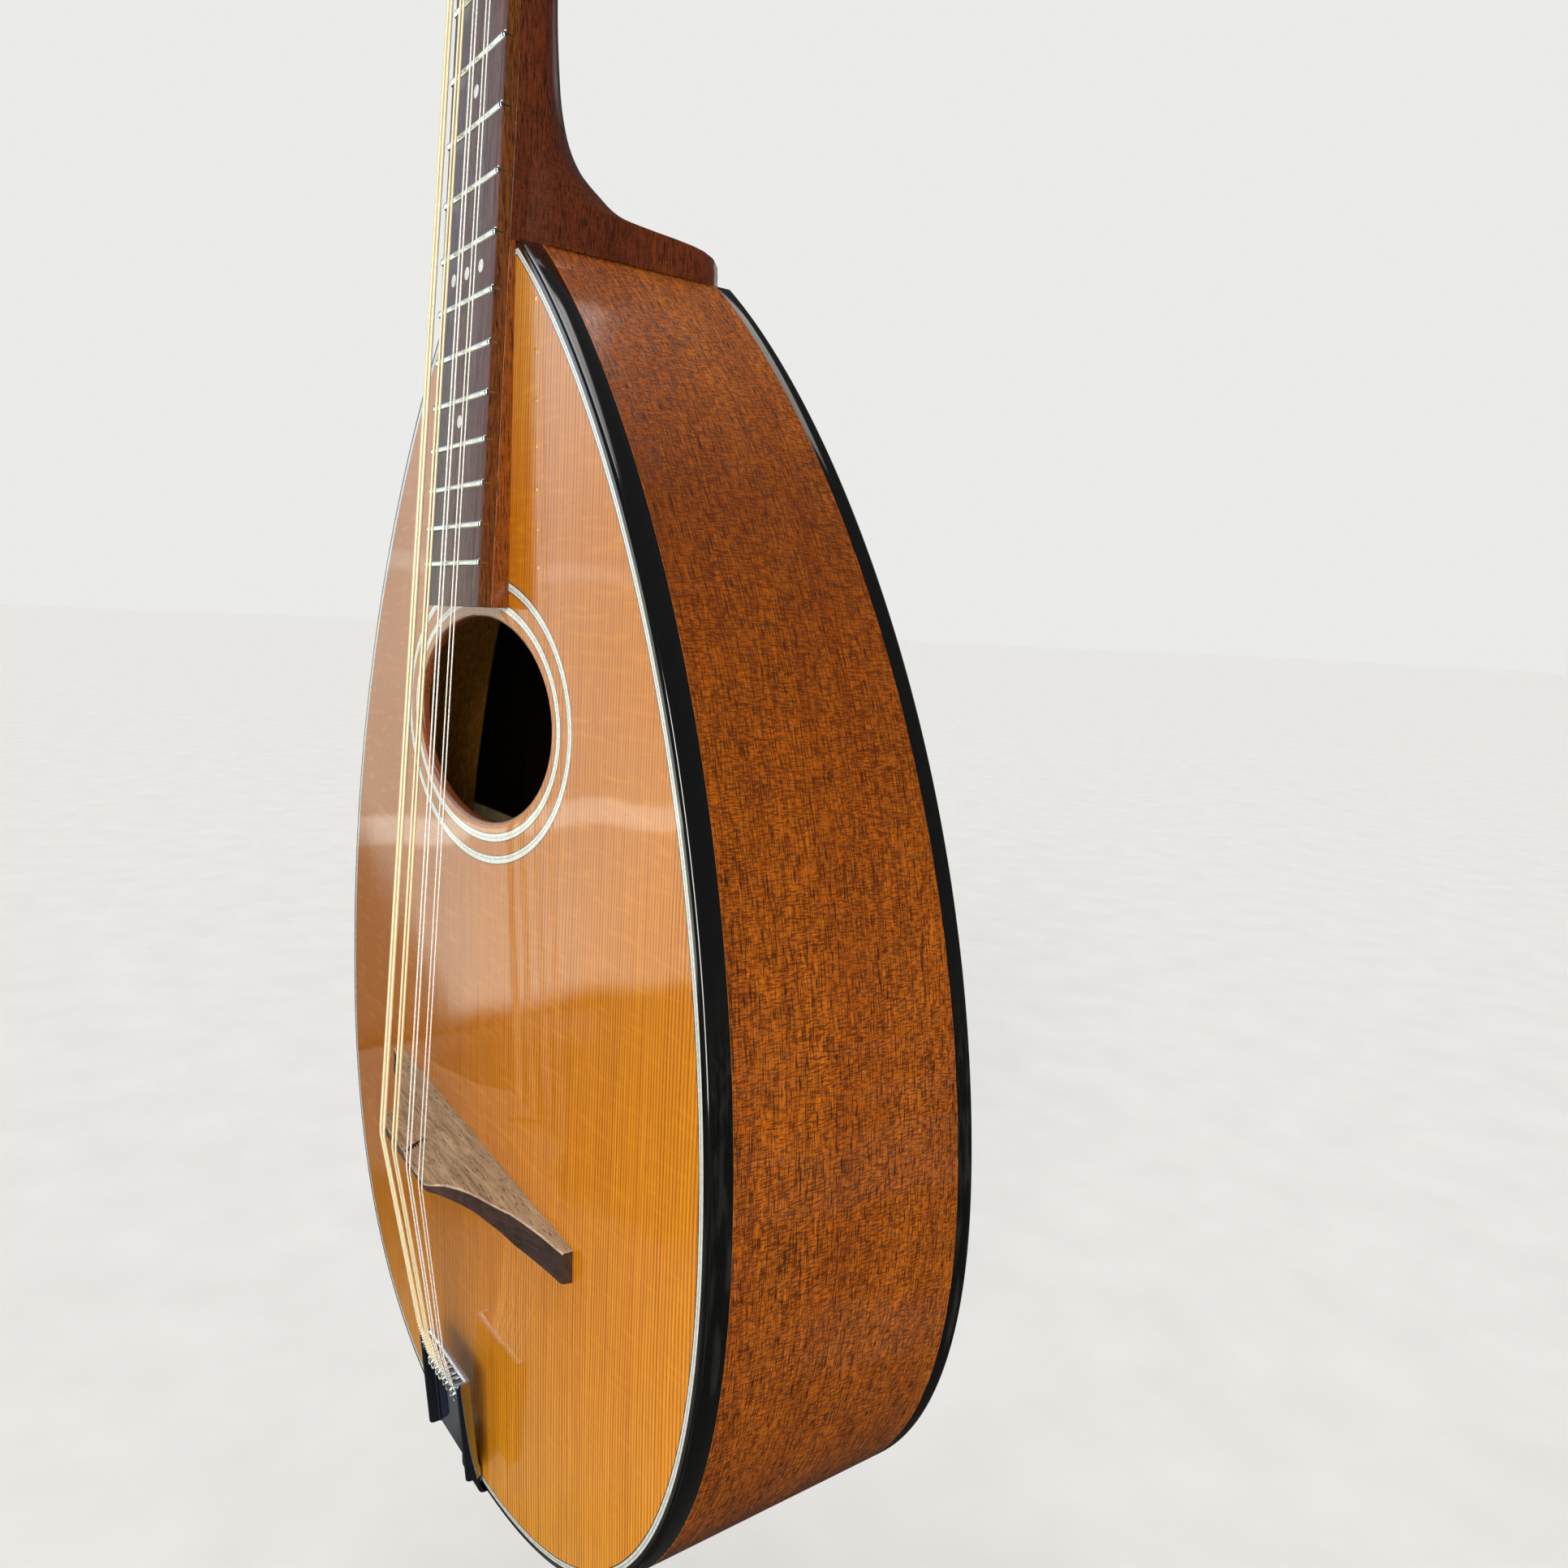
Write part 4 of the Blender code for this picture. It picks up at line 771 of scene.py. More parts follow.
zs = np.concatenate([np.linspace(295.25, 330, 500), np.linspace(330, 583, 500)[1:]])
ys = pchip(HEEL_BACK, zs)
cs = np.concatenate([[0], np.cumsum(np.hypot(np.diff(zs), np.diff(ys) * 0.8))])
stations = np.interp(np.linspace(0, cs[-1], 130), cs, zs)
loops = []
for z in stations:
    z = float(z)
    yb = float(pchip(HEEL_BACK, [z])[0])
    wh = float(pchip(HEEL_HALF, [z])[0])
    if z <= 561:
        y0 = board_y(z) + BOARD_T + STRIP_T
        w0 = board_half(z) - 0.12
    else:
        t = min(1.0, (z - 561) / 4.0)
        y0 = (board_y(561) + BOARD_T + STRIP_T) * (1 - t) + (HEAD_Y + (z - HEAD_Z) * tan(TILT) + 4.0) * t
        w0 = board_half(561) - 0.12
    heel = max(0.0, min(1.0, (yb - 24.0) / 30.0))
    flare = min(7.5, (yb - y0) * 0.4)
    ys0 = y0 + 1.2 + heel * max(0.0, yb - y0 - 15.0)
    power = 2.0 + 1.5 * heel
    side = []
    for k in range(12):
        t = k / 11.0
        y = y0 + (ys0 - y0) * t ** 1.3
        s = max(0.0, min(1.0, (y - y0) / flare))
        s = s * s * (3 - 2 * s)
        s = s if heel > 0 else s
        side.append((w0 + (wh - w0) * s, y))
    wlast = side[-1][0]
    narrow = 0.90 if heel >= 1 else 1.0 - 0.10 * heel * heel
    for k in range(1, 15):
        a = pi / 2 * k / 14
        c, s = cos(a), sin(a)
        f = 1 - (1 - narrow) * s
        x = (wlast + (wh - wlast) * min(1.0, s * 3)) * f * (c ** (2 / power) if k < 14 else 0.0)
        side.append((x, ys0 + (yb - ys0) * s ** (2 / power)))
    pts = side + [(-x, y) for x, y in reversed(side[:-1])]
    loops.append([(x, y, z) for x, y in pts])
make("neck_wood", [loft(loops)], M_NECK, replaces=("neck",), sharp=50)

# the flush strip between the neck and the fingerboard, and the riser beyond it
loops = []
for z in np.linspace(295.25, 564.9, 40):
    w = board_half(z) if z < 560 else board_half(560)
    ya = board_y(min(z, 560.2)) + BOARD_T + 0.02 if z < 560.2 else board_y(560) + BOARD_T
    yb = board_y(min(z, 561)) + BOARD_T + STRIP_T + 0.15
    loops.append([(-w, yb, z), (-w, ya, z), (w, ya, z), (w, yb, z)])
make("neck_strip", [loft(loops)], M_NECK, replaces=("neck",), bevel=(0.12, 2))
loops = []
for z in np.linspace(184.35, 295.25, 30):
    w, yt = board_half(z), board_y(z) + BOARD_T + 0.02
    xs = np.linspace(-w, w, 13)
    low = np.maximum(dome(xs, np.full(13, z)) + 0.01, yt + 0.2)
    loops.append([(-w, yt, z), (w, yt, z)] + [(float(x), float(y), z) for x, y in zip(xs[::-1], low[::-1])])
M_RISER = mahogany("riser_mahogany", light=(150, 80, 22), mid=(122, 58, 12), dark=(66, 26, 8), ripple=0.3, figure=0.5)
make("riser_wood", [loft(loops)], M_RISER, replaces=("fingerboard_riser",), bevel=(0.12, 2))

# ------------------------------------------------------------ fingerboard and frets
FRETS = 18
loops = []
for z in np.concatenate([np.linspace(184.3, 560.0, 76)]):
    w, yt, yb = board_half(z), board_y(z), board_y(z) + BOARD_T
    r = 0.35
    loops.append([(-w, yb, z), (-w, yt + r, z), (-w + r * 0.3, yt + r * 0.3, z), (-w + r, yt, z), (0, yt, z), (w - r, yt, z),
                  (w - r * 0.3, yt + r * 0.3, z), (w, yt + r, z), (w, yb, z)])
v, f = loft(loops)
M_BOARDSIDE = mahogany("board_side_wood", light=(118, 64, 18), mid=(94, 48, 12), dark=(46, 20, 6), ripple=0.0, figure=0.8)
make("fingerboard_wood", [(v, f, [1 if len(g) == 4 and {i % 9 for i in g} in ({0, 1}, {7, 8}) else 0 for g in f])], [M_BOARD, M_BOARDSIDE],
     replaces=("fingerboard",), bevel=(0.2, 2, 60))

shapes = []
tangs = []
for n in range(1, FRETS + 1):
    z = 560.0 * 2 ** (-n / 12)
    w = board_half(z) + 0.12
    yt = board_y(z)
    arc = [(1.12 * cos(a), 1.0 * sin(a)) for a in np.linspace(0, pi, 11)]
    xs = [-w, -w + 0.10, -w + 0.35, -w + 0.8] + list(np.linspace(-w + 1.4, w - 1.4, 5)) + [w - 0.8, w - 0.35, w - 0.10, w]
    loops = []
    for x in xs:
        d = w - abs(x)
        k = 0.35 if d < 0.05 else 0.68 if d < 0.2 else 0.92 if d < 0.5 else 1.0
        loops.append([(x, yt + 0.12 - (h * k + 0.12), z + dz) for dz, h in arc])
    shapes.append(loft(loops))
    for s in (-1, 1):
        wb = board_half(z) * s
        tangs.append(loft([[(wb - 0.3 * s, yt + 0.1, z - 0.28), (wb - 0.3 * s, yt + 0.1, z + 0.28), (wb - 0.3 * s, yt + 2.3, z + 0.28), (wb - 0.3 * s, yt + 2.3, z - 0.28)],
                           [(wb + 0.03 * s, yt + 0.1, z - 0.28), (wb + 0.03 * s, yt + 0.1, z + 0.28), (wb + 0.03 * s, yt + 2.3, z + 0.28), (wb + 0.03 * s, yt + 2.3, z - 0.28)]]))
make("frets", shapes, M_FRET, replaces=("fingerboard",), sharp=50)
make("fret_tangs", tangs, M_TANG, replaces=("fingerboard",))

shapes = []
for x, z in ((0, 433.0), (0, 386.0), (0, 343.5), (-11.5, 288.8), (0, 288.8), (11.5, 288.8), (0, 243.0)):
    loops = []
    for r, d in ((2.0, 0.3), (2.0, -0.015), (1.9, -0.035), (1.0, -0.04)):
        loops.append([(x + r * cos(t), board_y(z) - 0.0468 * 0 + 0.0468 * (r * sin(t)) + d, z + r * sin(t)) for t in np.linspace(0, 2 * pi, 25)[:-1]])
    shapes.append(loft(loops))
make("position_dots", shapes, M_PEARL, replaces=("fingerboard",), sharp=60)

# nut with eight slots
STRING_R = (0.58, 0.43, 0.28, 0.22)
SADDLE_X, NUT_X, HOOK_X = (-18.0, -5.8, 8.2, 19.8), (-14.6, -4.9, 4.9, 14.6), (-10.8, -3.6, 3.6, 10.8)
PAIR_S, PAIR_N, PAIR_H = 3.3, 2.6, 3.0
nw = board_half(560) - 0.1
cuts = []
for c in range(4):
    for j in (-0.5, 0.5):
        cuts.append((NUT_X[c] + j * PAIR_N, STRING_R[c] + 0.05))
cuts.sort()
tops = [(-nw, 4.6), (-nw + 0.8, 3.75)]
for x, r in cuts:
    tops += [(x - r * 1.3, 3.6)] + [(x + r * cos(a), 4.30 - r + r * sin(a) + 0.0) for a in (pi, pi * 0.75, pi * 0.5, pi * 0.25, 0)] + [(x + r * 1.3, 3.6)]
tops += [(nw - 0.8, 3.75), (nw, 4.6)]
loops = []
for z, dy in ((560.3, 0.7), (560.45, 0.25), (560.9, 0.0), (562.8, 0.15), (564.4, 0.7), (564.9, 1.3)):
    loops.append([(x, min(y + dy, 10.1), z) for x, y in tops] + [(nw, 10.2, z), (-nw, 10.2, z)])
make("nut_bone", [loft(loops)], M_BONE, replaces=("nut",), sharp=45)


# ------------------------------------------------------------ headstock
def chaikin(p, times, closed=False):
    p = [np.array(q, float) for q in p]
    for _ in range(times):
        out = [] if closed else [p[0]]
        rng = range(len(p)) if closed else range(len(p) - 1)
        for i in rng:
            a, b = p[i], p[(i + 1) % len(p)]
            out += [a * 0.75 + b * 0.25, a * 0.25 + b * 0.75]
        if not closed:
            out.append(p[-1])
        p = out
    return p


def head_outline(start):
    h = [(19.5, start), (19.6, 1.0), (21.5, 6.0), (25.8, 12.0), (27.6, 18.0), (28.4, 60.0), (29.6, 112.0), (27.5, 121.0),
         (19.0, 127.5), (8.0, 131.3), (0.0, 132.0)]
    h = [(max(u, 0.0), w) for u, w in chaikin(h, 2)]
    return [tuple(q) for q in h] + [(-u, w) for u, w in reversed(h[:-1])]


def in_head(pts, v):
    return [head(u, v, w) for u, w in pts]


def cut(o, shape):
    """Takes a shape out of a finished piece."""
    me = bpy.data.meshes.new("tool")
    me.from_pydata([W(*p) for p in shape[0]], [], [tuple(f) for f in shape[1]])
    bm = bmesh.new()
    bm.from_mesh(me)
    bmesh.ops.recalc_face_normals(bm, faces=bm.faces)
    bm.to_mesh(me)
    bm.free()
    t = bpy.data.objects.new("tool", me)
    bpy.context.scene.collection.objects.link(t)
    mod = o.modifiers.new("cut", 'BOOLEAN')
    mod.operation, mod.solver, mod.object = 'DIFFERENCE', 'EXACT', t
    bpy.context.view_layer.update()
    new = bpy.data.meshes.new_from_object(o.evaluated_get(bpy.context.evaluated_depsgraph_get()))
    o.modifiers.clear()
    o.data = new
    bpy.data.objects.remove(t)


def rod_in_head(u, v0, v1, w, r, n=28):
    return loft([[head(u + r * cos(2 * pi * k / n), v, w + r * sin(2 * pi * k / n)) for k in range(n)] for v in (v0, v1)])


def merged(shapes):
    verts, faces = [], []
    for v, f in shapes:
        k = len(verts)
        verts += list(v)
        faces += [tuple(i + k for i in g) for g in f]
    return verts, faces


POSTS = [(side, i, sg * 19.5, 30.0 + 23.0 * i) for side, sg in (("bass", -1), ("treble", 1)) for i in range(4)]
wood = head_outline(-1.0)
head_o = make("head_wood", [loft([in_head(wood, -15.0), in_head(wood, -1.9)])], M_NECK, replaces=("neck",), bevel=(1.0, 3, 50))
ven = head_outline(0.5)
ven_o = make("head_face", [loft([in_head(ven, -1.85), in_head(ven, -0.3), in_head([(u * 0.992, w if w < 1 else w - 0.25) for u, w in ven], 0.0)])],
             M_VENEER, replaces=("head_veneer",), sharp=25)
holes = merged([rod_in_head(u, -20.0, 6.0, w, 3.35) for _, _, u, w in POSTS])
cut(head_o, holes)
cut(ven_o, holes)
for o in (head_o, ven_o):
    o.data.shade_smooth()
    o.data.set_sharp_from_angle(angle=radians(30))

# bushings round the posts on the face
shapes = []
for _, _, u, w in POSTS:
    lp = []
    for r, v in ((3.25, -0.2), (3.25, 0.55), (3.5, 0.75), (4.6, 0.7), (5.2, 0.35), (5.3, 0.02), (5.3, -0.2)):
        lp.append([head(u + r * cos(2 * pi * k / 36), v, w + r * sin(2 * pi * k / 36)) for k in range(36)])
    shapes.append(loft(lp, closed=True))
make("post_bushings", shapes, M_NICKEL, replaces=("head_veneer",), sharp=50)

# truss rod cover with three screws
cover = chaikin([(-7.5, 2.5), (7.5, 2.5), (8.5, 8.0), (6.0, 22.0), (0.0, 31.0), (-6.0, 22.0), (-8.5, 8.0)], 3, closed=True)
cover = [tuple(q) for q in cover]
cc = np.mean(cover, axis=0)
small = [tuple(cc + (np.array(q) - cc) * 0.93) for q in cover]
make("truss_cover_plate", [loft([in_head(cover, 0.02), in_head(cover, 1.35), in_head(small, 1.9)])], M_BLACK, replaces=("truss_rod_cover",),
     sharp=30)


def dome_screw(place, r, h, n=20, slotted=True):
    """A small domed screw head: place(u, v, w) gives points, v is out."""
    lp = [[place(r * cos(2 * pi * k / n), 0.0, r * sin(2 * pi * k / n)) for k in range(n)]]
    for a in (0.0, 0.5, 0.9, 1.2):
        lp.append([place(r * cos(a) * cos(2 * pi * k / n), h * (0.25 + 0.75 * sin(a) / sin(1.2)), r * cos(a) * sin(2 * pi * k / n)) for k in range(n)])
    out = [loft(lp)]
    if slotted:
        s, t = r * 0.72, r * 0.13
        out.append(loft([[place(-s, h * 0.9, -t), place(s, h * 0.9, -t), place(s, h * 0.9, t), place(-s, h * 0.9, t)],
                         [place(-s, h * 1.06, -t), place(s, h * 1.06, -t), place(s, h * 1.06, t), place(-s, h * 1.06, t)]]) + (1,))
    return out


shapes = []
for u, w in ((0.0, 26.6), (-6.0, 5.6), (6.0, 5.6)):
    shapes += dome_screw(lambda a, b, c, u=u, w=w: head(u + a, 1.85 + b, w + c), 1.5, 0.7)
make("truss_cover_screws", shapes, [M_NICKEL, M_BLACK], replaces=("truss_rod_cover",), sharp=35)

# ------------------------------------------------------------ tuners
WORM_V, DROP = -19.2, 6.14
VB = -15.02
for side, sg in (("bass", -1), ("treble", 1)):
    u0, u1 = sorted((sg * 13.2, sg * 26.4))
    corner = 2.6
    outline = []
    for cu, cw, a0 in ((u1 - corner, 108.5 - corner, 0), (u0 + corner, 108.5 - corner, 90), (u0 + corner, 16.5 + corner, 180), (u1 - corner, 16.5 + corner, 270)):
        for k in range(7):
            a = radians(a0 + 15 * k)
            outline.append((cu + corner * cos(a), cw + corner * sin(a)))
    inner = [((u0 + u1) / 2 + (u - (u0 + u1) / 2) * 0.95, 62.5 + (w - 62.5) * 0.993) for u, w in outline]
    plate = make("tuner_plate_%s_metal" % side, [loft([in_head(outline, VB), in_head(outline, VB - 0.9), in_head(inner, VB - 1.25)])], M_NICKEL,
                 replaces=("tuner_plate_" + side,), sharp=30)
    shapes = []
    for i in range(4):
        wc = 30.0 + 23.0 * i - DROP
        for off in (-3.7, 3.7):
            uc = sg * 19.5 + off
            lp = []
            for du in (-0.5, 0.5):
                loop_pts = [(uc + du, VB - 1.1, wc - 2.6), (uc + du, VB - 1.1, wc + 2.0)]
                for a in np.linspace(0, pi, 9):
                    loop_pts.append((uc + du, WORM_V - 2.2 * sin(a), wc - 0.3 + 2.3 * cos(a)))
                lp.append([head(*q) for q in loop_pts])
            shapes.append(loft(lp))
    make("tuner_ears_" + side, shapes, M_NICKEL, replaces=("tuner_plate_" + side,), bevel=(0.18, 2))
    shapes = []
    for w in (19.2, 41.5 - 3.0, 64.5 - 3.0, 87.5 - 3.0, 105.6):
        for u in (sg * 15.6,) if 19.5 < w < 105 else (sg * 15.6, sg * 23.9):
            shapes += dome_screw(lambda a, b, c, u=u, w=w: head(u + a, VB - 1.2 - b, w + c), 1.45, 0.85)
    make("tuner_plate_screws_" + side, shapes, [M_NICKEL, M_BLACK], replaces=("tuner_plate_" + side,), sharp=35)

TEETH = 14
PITCH_R, ROOT_R, TIP_R = 4.34, 3.65, 4.75
WORM_R = 1.8
WPITCH = 2 * pi * PITCH_R / TEETH
for side, i, u, w in POSTS:
    sg = 1 if side == "treble" else -1
    nm = "%s_%d" % (side, i + 1)
    # gear: twelve points a tooth, twisted to the worm's lead
    lead = WPITCH / (2 * pi * WORM_R)
    period = 2 * pi / TEETH
    lp = []
    for z, grow in ((-1.0, 0.92), (-0.85, 1.0), (0.0, 1.0), (0.85, 1.0), (1.0, 0.92)):
        turn = lead * z / PITCH_R
        ring = []
        for t in range(TEETH):
            mid = -pi / 2 + period * (t + 0.5) + turn
            for fr, r in ((-0.42, ROOT_R), (-0.325, ROOT_R), (-0.20, 4.3), (-0.115, TIP_R - 0.05), (-0.05, TIP_R), (0.05, TIP_R), (0.115, TIP_R - 0.05), (0.20, 4.3),
                          (0.325, ROOT_R), (0.42, ROOT_R)):
                a = mid + fr * period
                r = r if grow == 1.0 else ROOT_R + (r - ROOT_R) * 0.8
                ring.append(head(u + r * cos(a), WORM_V + z, w + r * sin(a)))
        lp.append(ring)
    make("gear_" + nm, [loft(lp)], M_BRASS, body="post_" + nm, replaces=("string_post_" + nm,), sharp=30)
    shapes = []
    n = 32
    lp = []
    for v, r in ((-2.2 + WORM_V, 1.2), (-2.0 + WORM_V, 2.3), (-1.6 + WORM_V, 2.6), (-1.0 + WORM_V, 2.7)):
        lp.append([head(u + r * cos(2 * pi * k / n), v, w + r * sin(2 * pi * k / n)) for k in range(n)])
    shapes.append(loft(lp))
    s, t = 2.0, 0.28
    shapes.append(loft([[head(u + a, WORM_V - 2.1, w + b) for a, b in ((-s, -t), (s, -t), (s, t), (-s, t))],
                        [head(u + a, WORM_V - 2.24, w + b) for a, b in ((-s, -t), (s, -t), (s, t), (-s, t))]]) + (1,))
    make("gear_screw_" + nm, shapes, [M_STEEL, M_BLACK], body="post_" + nm, replaces=("string_post_" + nm,), sharp=35)
    lp = []
    for v, r in ((WORM_V + 1.0, 3.0), (1.2, 3.0), (1.8, 2.95), (3.0, 2.85), (5.0, 2.8), (7.0, 2.85), (8.2, 2.98), (8.6, 3.0), (11.2, 3.0), (11.7, 2.75), (12.0, 2.2)):
        lp.append([head(u + r * cos(2 * pi * k / n), v, w + r * sin(2 * pi * k / n)) for k in range(n)])
    post = make("post_%s_metal" % nm, [loft(lp)], M_NICKEL, body="post_" + nm, replaces=("string_post_" + nm,), sharp=40)
    m = 14
    cut(post, loft([[head(u + x, 6.6 + 0.75 * sin(2 * pi * k / m), w + 0.75 * cos(2 * pi * k / m)) for k in range(m)] for x in (-4, 4)]))
    post.data.shade_smooth()
    post.data.set_sharp_from_angle(angle=radians(35))

    # worm, shaft and button; local axes: along x outward, round it (w, v * side)
    wc = w - DROP

    def at_worm(a, b, z, u=u, wc=wc, sg=sg):
        return head(u + sg * z, WORM_V + sg * b, wc + a)

    nn = 32
    lp = []

    def ring(z, r, r2=None):
        r2 = r if r2 is None else r2
        return [at_worm(r * cos(2 * pi * (k + 0.5) / nn), r2 * sin(2 * pi * (k + 0.5) / nn), z) for k in range(nn)]
    lp += [ring(-5.4, 0.7), ring(-5.2, 1.0), ring(-WPITCH - 0.35, 1.0)]
    for s in range(-32, 33):
        z = WPITCH * s / 32.0
        fade = min(1.0, (32 - abs(s)) / 5.0)
        pts = []
        for k in range(nn):
            th = 2 * pi * (k + 0.5) / nn
            d = (th - 2 * pi * z / WPITCH + pi) % (2 * pi) - pi
            f = min(1.0, max(0.0, (radians(75) - abs(d)) / radians(45)))
            r = 1.2 + (2.3 - 1.2) * f * fade
            pts.append(at_worm(r * cos(th), r * sin(th), z))
        lp.append(pts)
    lp += [ring(WPITCH + 0.35, 1.0), ring(12.2, 1.0)]
    make("worm_" + nm, [loft(lp)], M_STEEL, body="button_" + nm, replaces=("tuner_button_" + nm,), sharp=40)
    z0 = 31.8 - 19.5
    lp = [ring(z0, 1.3), ring(z0, 1.9, 1.9), ring(z0 + 0.25, 2.15, 2.1), ring(z0 + 2.0, 2.3, 2.1)]
    for t in np.linspace(0, 1, 15):
        zz = z0 + 2.0 + 10.5 * t
        prof = max(0.0, 1 - ((t - 0.52) / 0.52) ** 2) ** 0.42 if t > 0.52 else 1 - (1 - t / 0.52) ** 2.2 * 0.62
        lp.append(ring(zz, 6.2 * prof if t < 0.999 else 1.2, 3.4 * (prof ** 0.8) if t < 0.999 else 0.8))
    make("button_%s_cap" % nm, [loft(lp)], M_BUTTON, body="button_" + nm, replaces=("tuner_button_" + nm,), sharp=50)


# ------------------------------------------------------------ strings
def tube(path, radius, sides=12, base=0.0):
    """Round wire along mm points; gives shape and the attribute (along, turn, 0)."""
    path = [Vector(p) for p in path]
    secs, att = [], []
    ref = Vector((1, 0, 0.02))
    s = base
    for i, p in enumerate(path):
        a, b = path[max(i - 1, 0)], path[min(i + 1, len(path) - 1)]
        t = (b - a).normalized()
        if i:
            s += (p - path[i - 1]).length
        e1 = (ref - t * ref.dot(t)).normalized()
        e2 = t.cross(e1)
        ref = e1
        secs.append([tuple(p + (e1 * cos(2 * pi * k / sides) + e2 * sin(2 * pi * k / sides)) * radius) for k in range(sides)])
        att += [(s * MM, abs(2.0 * k / sides - 1.0), 0.0) for k in range(sides)]
    v, f = loft(secs)
    return v, f, att


def smooth_path(pts, r=2.0, n=5):
    """Rounds the inner corners of a path."""
    pts = [Vector(p) for p in pts]
    out = [pts[0]]
    for a, b, c in zip(pts, pts[1:], pts[2:]):
        d1, d2 = min(r, (b - a).length * 0.45), min(r, (c - b).length * 0.45)
        p, q = b + (a - b).normalized() * d1, b + (c - b).normalized() * d2
        for k in range(n + 1):
            t = k / n
            out.append(p.lerp(b, t).lerp(b.lerp(q, t), t))
    out.append(pts[-1])
    return out


def bridge_front(x):
    return 0.9 - 0.086 * x


def tray_y(z):
    """Depth of the tailpiece's front face."""
    return -6.6 - 0.105 * (z + 117.5)


names = ("4", "3", "2", "1")
for c in range(4):
    r = STRING_R[c]
    for j, letter in enumerate("ab"):
        off = j - 0.5
        sg = -1 if c < 2 else 1
        side = "bass" if c < 2 else "treble"
        near = (0, 1) if c in (0, 3) else (2, 3)
        outside = (j == 0) if sg < 0 else (j == 1)
        i = near[0] if outside else near[1]
        w = 30.0 + 23.0 * i
        xh, xs, xn = HOOK_X[c] + off * PAIR_H, SADDLE_X[c] + off * PAIR_S, NUT_X[c] + off * PAIR_N
        zf = bridge_front(xs)
        run = smooth_path([(xh, -13.0, -86.2), (xh, -16.6 - r, -72.0), (xs, -27.5 - r, zf - 3.4),
                           (xs, -27.5 - r, zf - 0.4), (xn, 4.3 - r, 560.6), (xn, 4.5 - r, 564.6)], 0.8, 4)
        rad = 3.0 + r + 0.05
        pitch = 2 * r + 0.12
        v0 = 5.6
        # from the nut to the post's tangent point, then down the winding
        steps = 24
        coil = []
        for k in range(int(2.5 * steps) + 1):
            a = k / steps
            ang = (pi if sg > 0 else 0) - sg * 2 * pi * a
            coil.append(Vector(head(sg * 19.5 + rad * cos(ang), v0 - pitch * a, w + rad * sin(ang))))
        pts = []
        for a, b in zip(run, run[1:]):
            # long straight spans are cut into short pieces
            cuts = max(1, int((b - a).length / 5.0))
            pts += [a.lerp(b, k / cuts) for k in range(cuts)]
        pts += [run[-1]] + coil
        kind = M_WOUND if c < 2 else M_PLAIN
        v, f, att = tube(pts, r, 14 if c < 2 else 10)
        make("string_%s%s_wire" % (names[c], letter), [(v, f)], kind, replaces=("string_%s%s" % (names[c], letter),),
             attrs={"along": att}, sharp=60)
        # loop end lashed over its hook: a ring and a twisted part up to the bend
        ring = []
        for k in range(25):
            a = 2 * pi * k / 24 + pi / 2
            ring.append((xh + 1.45 * cos(a), -12.5 + 0.5 * sin(a), -88.0 + 2.2 * sin(a)))
        v1, f1, _ = tube(ring, 0.24, 8)
        tw = []
        for k in range(120):
            t = k / 119.0
            a = 2 * pi * 11 * t
            z = -86.2 + 12.6 * t
            y = -13.0 + (-3.6 - r) * (z + 86.2) / 14.2
            tw.append((xh + (r + 0.12) * cos(a), y + (r + 0.12) * sin(a), z))
        v2, f2, _ = tube(tw, 0.17, 7)
        make("string_%s%s_end" % (names[c], letter), [(v1, f1), (v2, f2)], M_LOOP if c >= 2 else M_LOOPW,
             replaces=("string_%s%s" % (names[c], letter),), sharp=60)


# ------------------------------------------------------------ bridge
BR_TOP = ((0.0, -27.2), (22.3, -27.2), (23.4, -26.7), (26.0, -24.0), (29.0, -21.0), (35.7, -16.8), (44.7, -13.3),
          (53.3, -9.9), (66.0, -6.9), (78.0, -4.9))
BR_DEPTH = ((0.0, 3.5), (24.0, 3.5), (29.0, 5.0), (38.0, 6.4), (47.0, 8.0), (55.0, 10.0), (78.0, 10.5))
STEP_LINE = ((-28.0, 2.7), (-27.2, 2.4), (-23.9, -0.8), (-19.8, -3.0), (-16.5, -4.4), (-13.0, -5.3), (-9.0, -6.0))


def step_back(x, y):
    """How far the treble half of the crown's front is cut back."""
    line = float(np.interp(y, [p[0] for p in STEP_LINE], [p[1] for p in STEP_LINE]))
    deep = max(0.0, min(1.0, (-9.5 - y) / 12.0))
    side = max(0.0, min(1.0, (x - line) / 0.5))
    fade = max(0.0, min(1.0, (27.0 - x) / 6.0))
    return 1.25 * deep * side * fade


